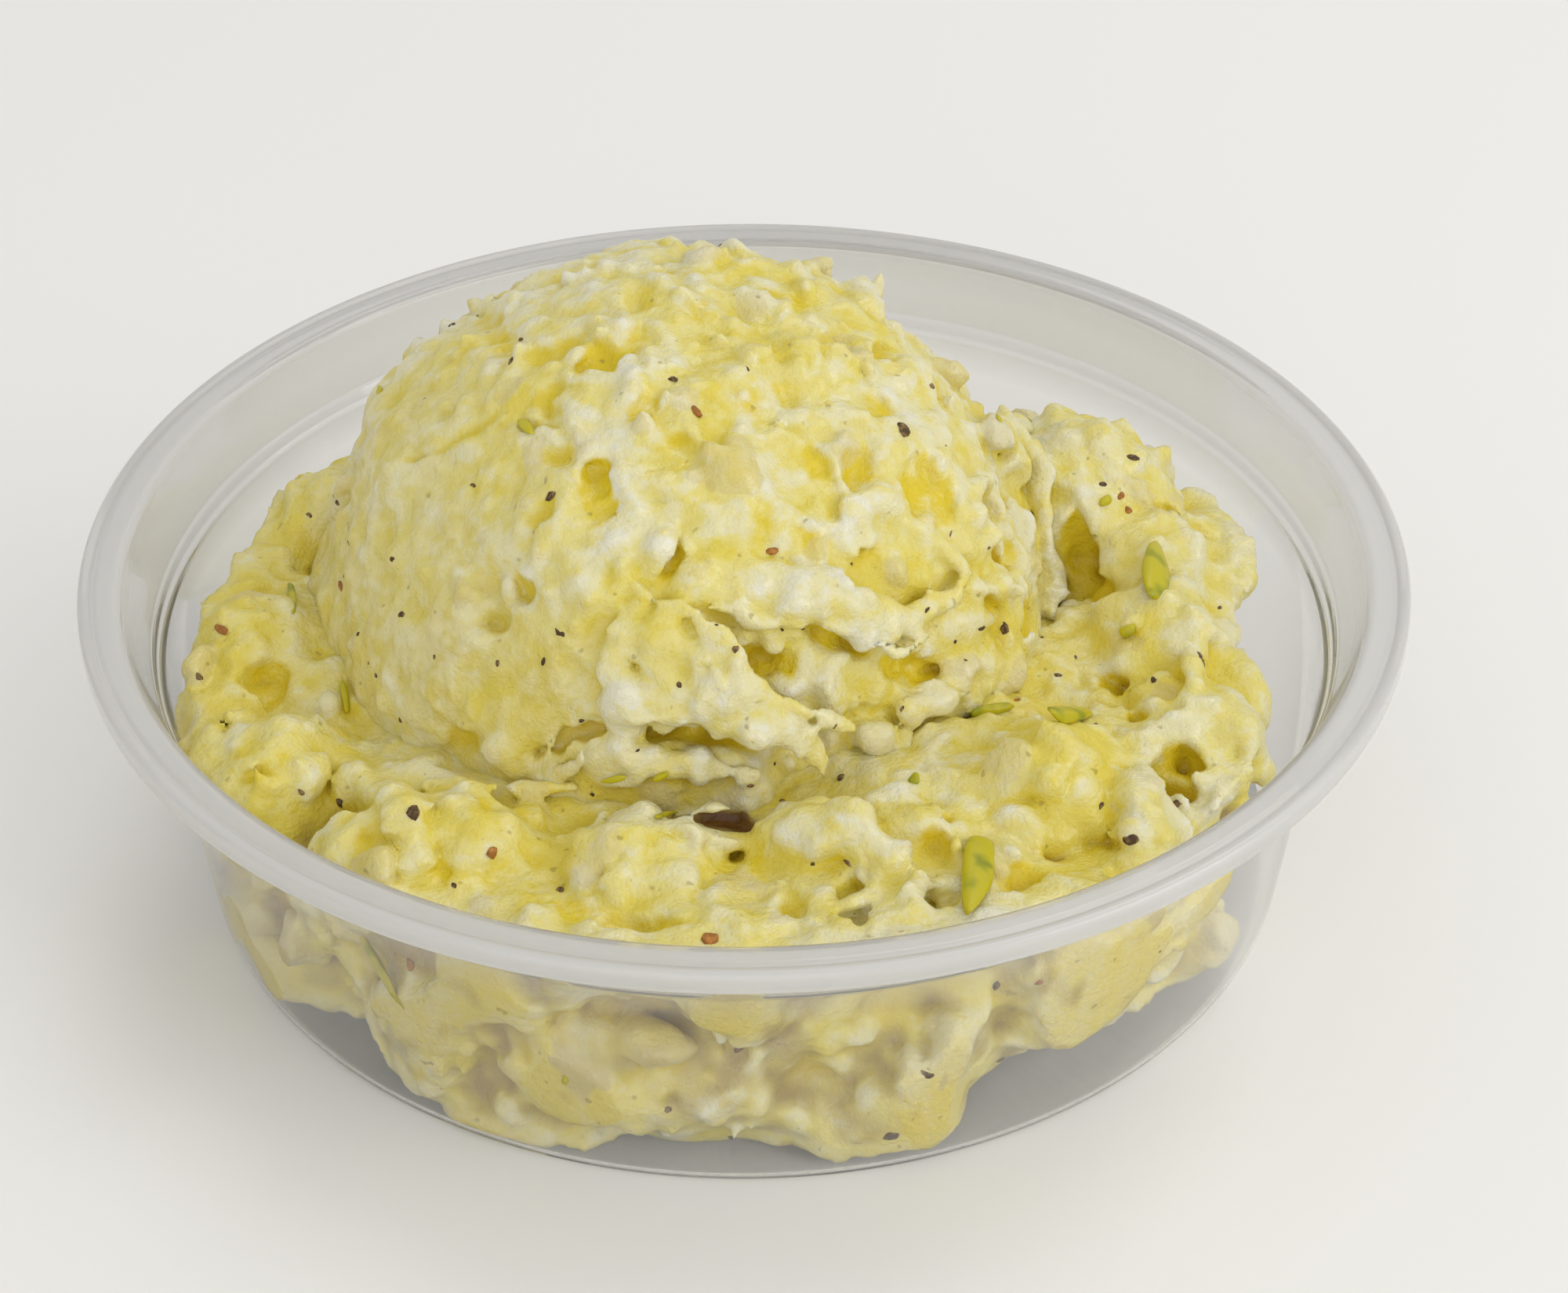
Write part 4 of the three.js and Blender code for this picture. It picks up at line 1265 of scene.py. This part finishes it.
def makeCup():
    piece = turned("clearCup", cupProfile(), cup["sides"])
    points = np.empty(len(piece.data.vertices) * 3, np.float32)
    piece.data.vertices.foreach_get("co", points)
    points = points.reshape(-1, 3) / mm
    radius = np.hypot(points[:, 0], points[:, 1])
    rim = smoothStep(flangeInner - 0.6, flangeInner + 0.6, radius)
    bead = smoothStep(cup["rimRadius"] - 1.3, cup["rimRadius"] - 0.9, radius)
    bead = bead * smoothStep(cup["height"] - 1.2, cup["height"] - 0.5, points[:, 2])
    shoulder = smoothStep(51.4, 52.2, radius) * smoothStep(21.0, 22.5, points[:, 2])
    low = smoothStep(4.5, 0.5, points[:, 2])
    addAttribute(piece, "milk", 0.03 + 0.3 * rim + 0.2 * bead + 0.22 * shoulder + 0.08 * low)
    finishPiece(piece, plasticMaterial(), "cup")


# icosphere points and triangles of radius 1
def ballGrid(subdivisions):
    made = bmesh.new()
    bmesh.ops.create_icosphere(made, subdivisions=subdivisions, radius=1)
    points = np.array([v.co[:] for v in made.verts])
    faces = np.array([[v.index for v in f.verts] for f in made.faces])
    made.free()
    return points, faces


# random turns as 3 x 3 matrices whose last row lies along each normal
def turnsOnNormals(normals, random):
    spin = random.normal(size=normals.shape)
    across = np.cross(normals, spin)
    across = across / np.linalg.norm(across, axis=1, keepdims=True)
    ahead = np.cross(normals, across)
    return np.stack([across, ahead, normals], 1)


# many lumps as one mesh: each side plane limits how far the lump reaches in a direction, and the
# nearest plane wins softly, which leaves flat broken sides with slightly rounded edges
def makeLumps(name, places, turns, halves, subdivisions, seed, softness, sideCount):
    random = np.random.default_rng(seed)
    directions, faces = ballGrid(subdivisions)
    count = len(places)
    sides = random.normal(size=(count, sideCount, 3))
    sides = sides / np.linalg.norm(sides, axis=2, keepdims=True)
    sides = np.concatenate([sides, -sides[:, :4]], 1)
    away = random.uniform(0.7, 1.15, (count, sides.shape[1]))
    facing = np.maximum(np.einsum("nsc,dc->nds", sides, directions), 1e-3)
    nearness = (facing / away[:, None, :]) ** softness
    reach = nearness.sum(2) ** (-1 / softness)
    local = directions[None] * np.minimum(reach, 1.6)[:, :, None] * halves[:, None, :]
    points = np.einsum("ndc,ncx->ndx", local, turns) + places[:, None, :]
    allFaces = faces[None] + (np.arange(count) * len(directions))[:, None, None]
    return makeObject(name, points.reshape(-1, 3), allFaces.reshape(-1, 3))


# where lines first meet the salad: places, normals and which of the lines met it
def landings(tree, origins, directions):
    found = [tree.ray_cast(Vector(o), Vector(d)) for o, d in zip(origins, directions)]
    met = np.array([hit[0] is not None for hit in found])
    places = np.array([hit[0] for hit in found if hit[0] is not None])
    normals = np.array([hit[1] for hit in found if hit[0] is not None])
    return places, normals, met


# pepper flakes that show best, as pixels of the image, with their widths in mm
pepperPixels = [
    (855, 300, 1.1), (663, 433, 1.1), (652, 460, 1.2), (860, 483, 1.6), (605, 620, 1.0),
    (1155, 547, 1.7), (513, 784, 1.3), (714, 807, 1.0), (634, 844, 1.0), (457, 808, 0.7),
    (480, 862, 0.7), (395, 657, 0.9), (675, 545, 1.3), (433, 1026, 1.4), (385, 1011, 0.9),
    (527, 1040, 1.5), (713, 1134, 1.4), (1079, 1100, 1.0), (1073, 990, 1.2), (1280, 803, 1.7),
    (1405, 1027, 1.2), (1500, 1025, 1.6), (1442, 1070, 1.4), (1405, 617, 1.0), (997, 803, 0.9),
    (938, 828, 1.0), (1270, 1255, 1.1), (1275, 1348, 1.5), (943, 1335, 1.5), (853, 1410, 1.1),
    (933, 1447, 1.7), (1135, 1443, 1.6), (1470, 865, 0.9), (1557, 775, 0.9), (1350, 860, 1.2),
]
redPixels = [(526, 1227, 1.0), (905, 1197, 1.4), (887, 525, 0.9), (985, 703, 0.9), (1430, 632, 0.8)]
# cut greens: from one pixel to another, with half widths across and through in mm
greenPixels = [
    (1472, 700, 1472, 760, 2.0, 0.9), (1344, 920, 1380, 914, 1.0, 0.7),
    (1250, 1058, 1242, 1166, 1.6, 0.8), (1238, 908, 1275, 902, 0.7, 0.5),
    (436, 878, 442, 913, 0.4, 0.35), (372, 748, 376, 786, 0.4, 0.35),
    (836, 990, 854, 981, 0.35, 0.3), (770, 994, 800, 990, 0.3, 0.25),
    (471, 1194, 510, 1260, 0.55, 0.4), (1430, 808, 1450, 800, 0.6, 0.4),
    (668, 540, 680, 556, 0.5, 0.3), (838, 1048, 858, 1042, 0.4, 0.3),
]


def sightLines(pixels):
    return [cameraPlace] * len(pixels), [sightLine(u, v) for u, v in pixels]


# rows of pixels with their sizes, and where they land
def pixelLandings(tree, rows):
    places, normals, met = landings(tree, *sightLines([row[:2] for row in rows]))
    return places, normals, np.array(rows)[met]


# rays from all round, most of them from above
def roundLandings(tree, random, count):
    angle = random.uniform(0, 2 * np.pi, count)
    rise = random.uniform(0.05, 1.2, count)
    origins = np.stack([np.cos(angle), np.sin(angle), rise], 1) * 150
    targets = np.stack([random.uniform(-26, 26, count), random.uniform(-26, 26, count),
                        random.uniform(4, 30, count)], 1)
    lines = targets - origins
    return landings(tree, origins, lines / np.linalg.norm(lines, axis=1, keepdims=True))[:2]


# what lies round the cup beside what the image shows: counts, widths and half sizes in mm
toppings = {
    "loosePepper": 110, "pepperWidths": (0.5, 1.2), "pepperHalves": (1.0, 0.75, 0.5),
    "looseRed": 10, "redWidths": (0.5, 1.0), "redHalves": (1.2, 0.8, 0.5),
    "looseGreens": 10, "greenHalves": (0.9, 0.5, 0.35), "greensOut": 0.4,
}


def makeToppings(tree):
    random = np.random.default_rng(5)
    dark = (screenColour(78, 58, 36), screenColour(142, 116, 76))
    red = (screenColour(150, 98, 42), screenColour(186, 128, 62))

    places, normals, rows = pixelLandings(tree, pepperPixels)
    widths = rows[:, 2]
    otherPlaces, otherNormals = roundLandings(tree, random, toppings["loosePepper"])
    places = np.vstack([places, otherPlaces])
    normals = np.vstack([normals, otherNormals])
    otherWidths = mix(*toppings["pepperWidths"], random.uniform(0, 1, len(otherPlaces)) ** 2)
    widths = np.concatenate([widths, otherWidths]) * 0.85
    halves = widths[:, None] / 2 * np.array([toppings["pepperHalves"]])
    halves = halves * random.uniform(0.75, 1.25, (len(places), 3))
    places = places - normals * halves[:, 2:] * 0.6
    flakes = makeLumps("pepperFlakes", places, turnsOnNormals(normals, random), halves, 2, 6, 10.0, 8)
    finishPiece(flakes, pepperMaterial("pepper", *dark), "potato_salad")

    places, normals, rows = pixelLandings(tree, redPixels)
    otherPlaces, otherNormals = roundLandings(tree, random, toppings["looseRed"])
    otherWidths = random.uniform(*toppings["redWidths"], len(otherPlaces))
    widths = np.concatenate([rows[:, 2], otherWidths])
    places = np.vstack([places, otherPlaces])
    normals = np.vstack([normals, otherNormals])
    halves = widths[:, None] / 2 * np.array([toppings["redHalves"]])
    flecks = makeLumps("redFlecks", places, turnsOnNormals(normals, random), halves, 2, 7, 10.0, 8)
    finishPiece(flecks, pepperMaterial("redPepper", *red), "potato_salad")

    rows = np.array(greenPixels)
    starts, normals, met = landings(tree, *sightLines(rows[:, :2]))
    ends, endNormals, endMet = landings(tree, *sightLines(rows[:, 2:4]))
    both = met & endMet
    starts, ends = starts[both[met]], ends[both[endMet]]
    normals, rows = normals[both[met]], rows[both]
    length = np.linalg.norm(ends - starts, axis=1, keepdims=True)
    ahead = (ends - starts) / length
    aside = np.cross(normals, ahead)
    aside = aside / np.linalg.norm(aside, axis=1, keepdims=True)
    turns = np.stack([ahead, aside, np.cross(ahead, aside)], 1)
    halves = np.hstack([np.clip(length * 0.65, 0.4, 6.0), rows[:, 4:6]])
    otherPlaces, otherNormals = roundLandings(tree, random, toppings["looseGreens"])
    middles = (starts + ends) / 2 + normals * toppings["greensOut"]
    places = np.vstack([middles, otherPlaces])
    turns = np.concatenate([turns, turnsOnNormals(otherNormals, random)])
    otherHalves = np.array([toppings["greenHalves"]]) * random.uniform(0.5, 1.3, (len(otherPlaces), 1))
    halves = np.vstack([halves, otherHalves])
    greens = makeLumps("cutGreens", places, turns, halves, 3, 8, 9.0, 26)
    finishPiece(greens, greenMaterial(), "potato_salad")
    print("toppings done")


studio = {
    "floorColour": screenColour(241, 240, 237),
    "key": {"place": (0.22, 0.34, 0.72), "size": 0.4, "power": 0.95},
    "side": {"place": (0.74, -0.34, 0.46), "size": 0.6, "power": 2.6},
    "front": {"place": (-0.2, -0.82, 0.3), "size": 0.9, "power": 2.25},
    "world": 0.65,
}


def makeFloor():
    size = 1500.0
    corners = [(-size, -size, 0), (size, -size, 0), (size, size, 0), (-size, size, 0)]
    floor = makeObject("floor", corners, [(0, 1, 2, 3)], False)
    m = Maker("floor")
    m.set(Base_Color=studio["floorColour"], Roughness=0.7)
    floor.data.materials.append(m.material)


def makeLight(name, values):
    data = bpy.data.lights.new(name, "AREA")
    data.energy = values["power"]
    data.size = values["size"]
    lamp = bpy.data.objects.new(name, data)
    lamp.location = values["place"]
    aim = Vector((0, 0, 0.03)) - lamp.location
    lamp.rotation_euler = aim.to_track_quat("-Z", "Y").to_euler()
    bpy.context.scene.collection.objects.link(lamp)


def makeWorld():
    world = bpy.data.worlds.new("studio")
    world.use_nodes = True
    background = world.node_tree.nodes["Background"]
    background.inputs["Color"].default_value = (1.0, 0.99, 0.975, 1)
    background.inputs["Strength"].default_value = studio["world"]
    bpy.context.scene.world = world
    bpy.context.scene.view_settings.view_transform = "Standard"


makeCamera()
makeFloor()
makeLight("keyLight", studio["key"])
makeLight("sideLight", studio["side"])
makeLight("frontLight", studio["front"])
makeWorld()
print("stage done")

makeCup()
print("cup done")

scoopPiece = makeSaladPiece("saladScoop", scoopField(), scoopWarp, 91, 0.02)
bedPiece = makeSaladPiece("saladBed", bedField(), bedWarp, 95, 0.1)
mash = saladMaterial("mash")
for piece in (scoopPiece, bedPiece):
    finishPiece(piece, mash, "potato_salad")


# one search tree over both salad pieces, in mm
def saladTree():
    points, faces = [], []
    for piece in (scoopPiece, bedPiece):
        mesh = piece.data
        co = np.empty(len(mesh.vertices) * 3, np.float32)
        mesh.vertices.foreach_get("co", co)
        mesh.calc_loop_triangles()
        corner = np.empty(len(mesh.loop_triangles) * 3, np.int32)
        mesh.loop_triangles.foreach_get("vertices", corner)
        faces += (corner.reshape(-1, 3) + len(points)).tolist()
        points += (co.reshape(-1, 3) / mm).tolist()
    return BVHTree.FromPolygons(points, faces)


makeToppings(saladTree())
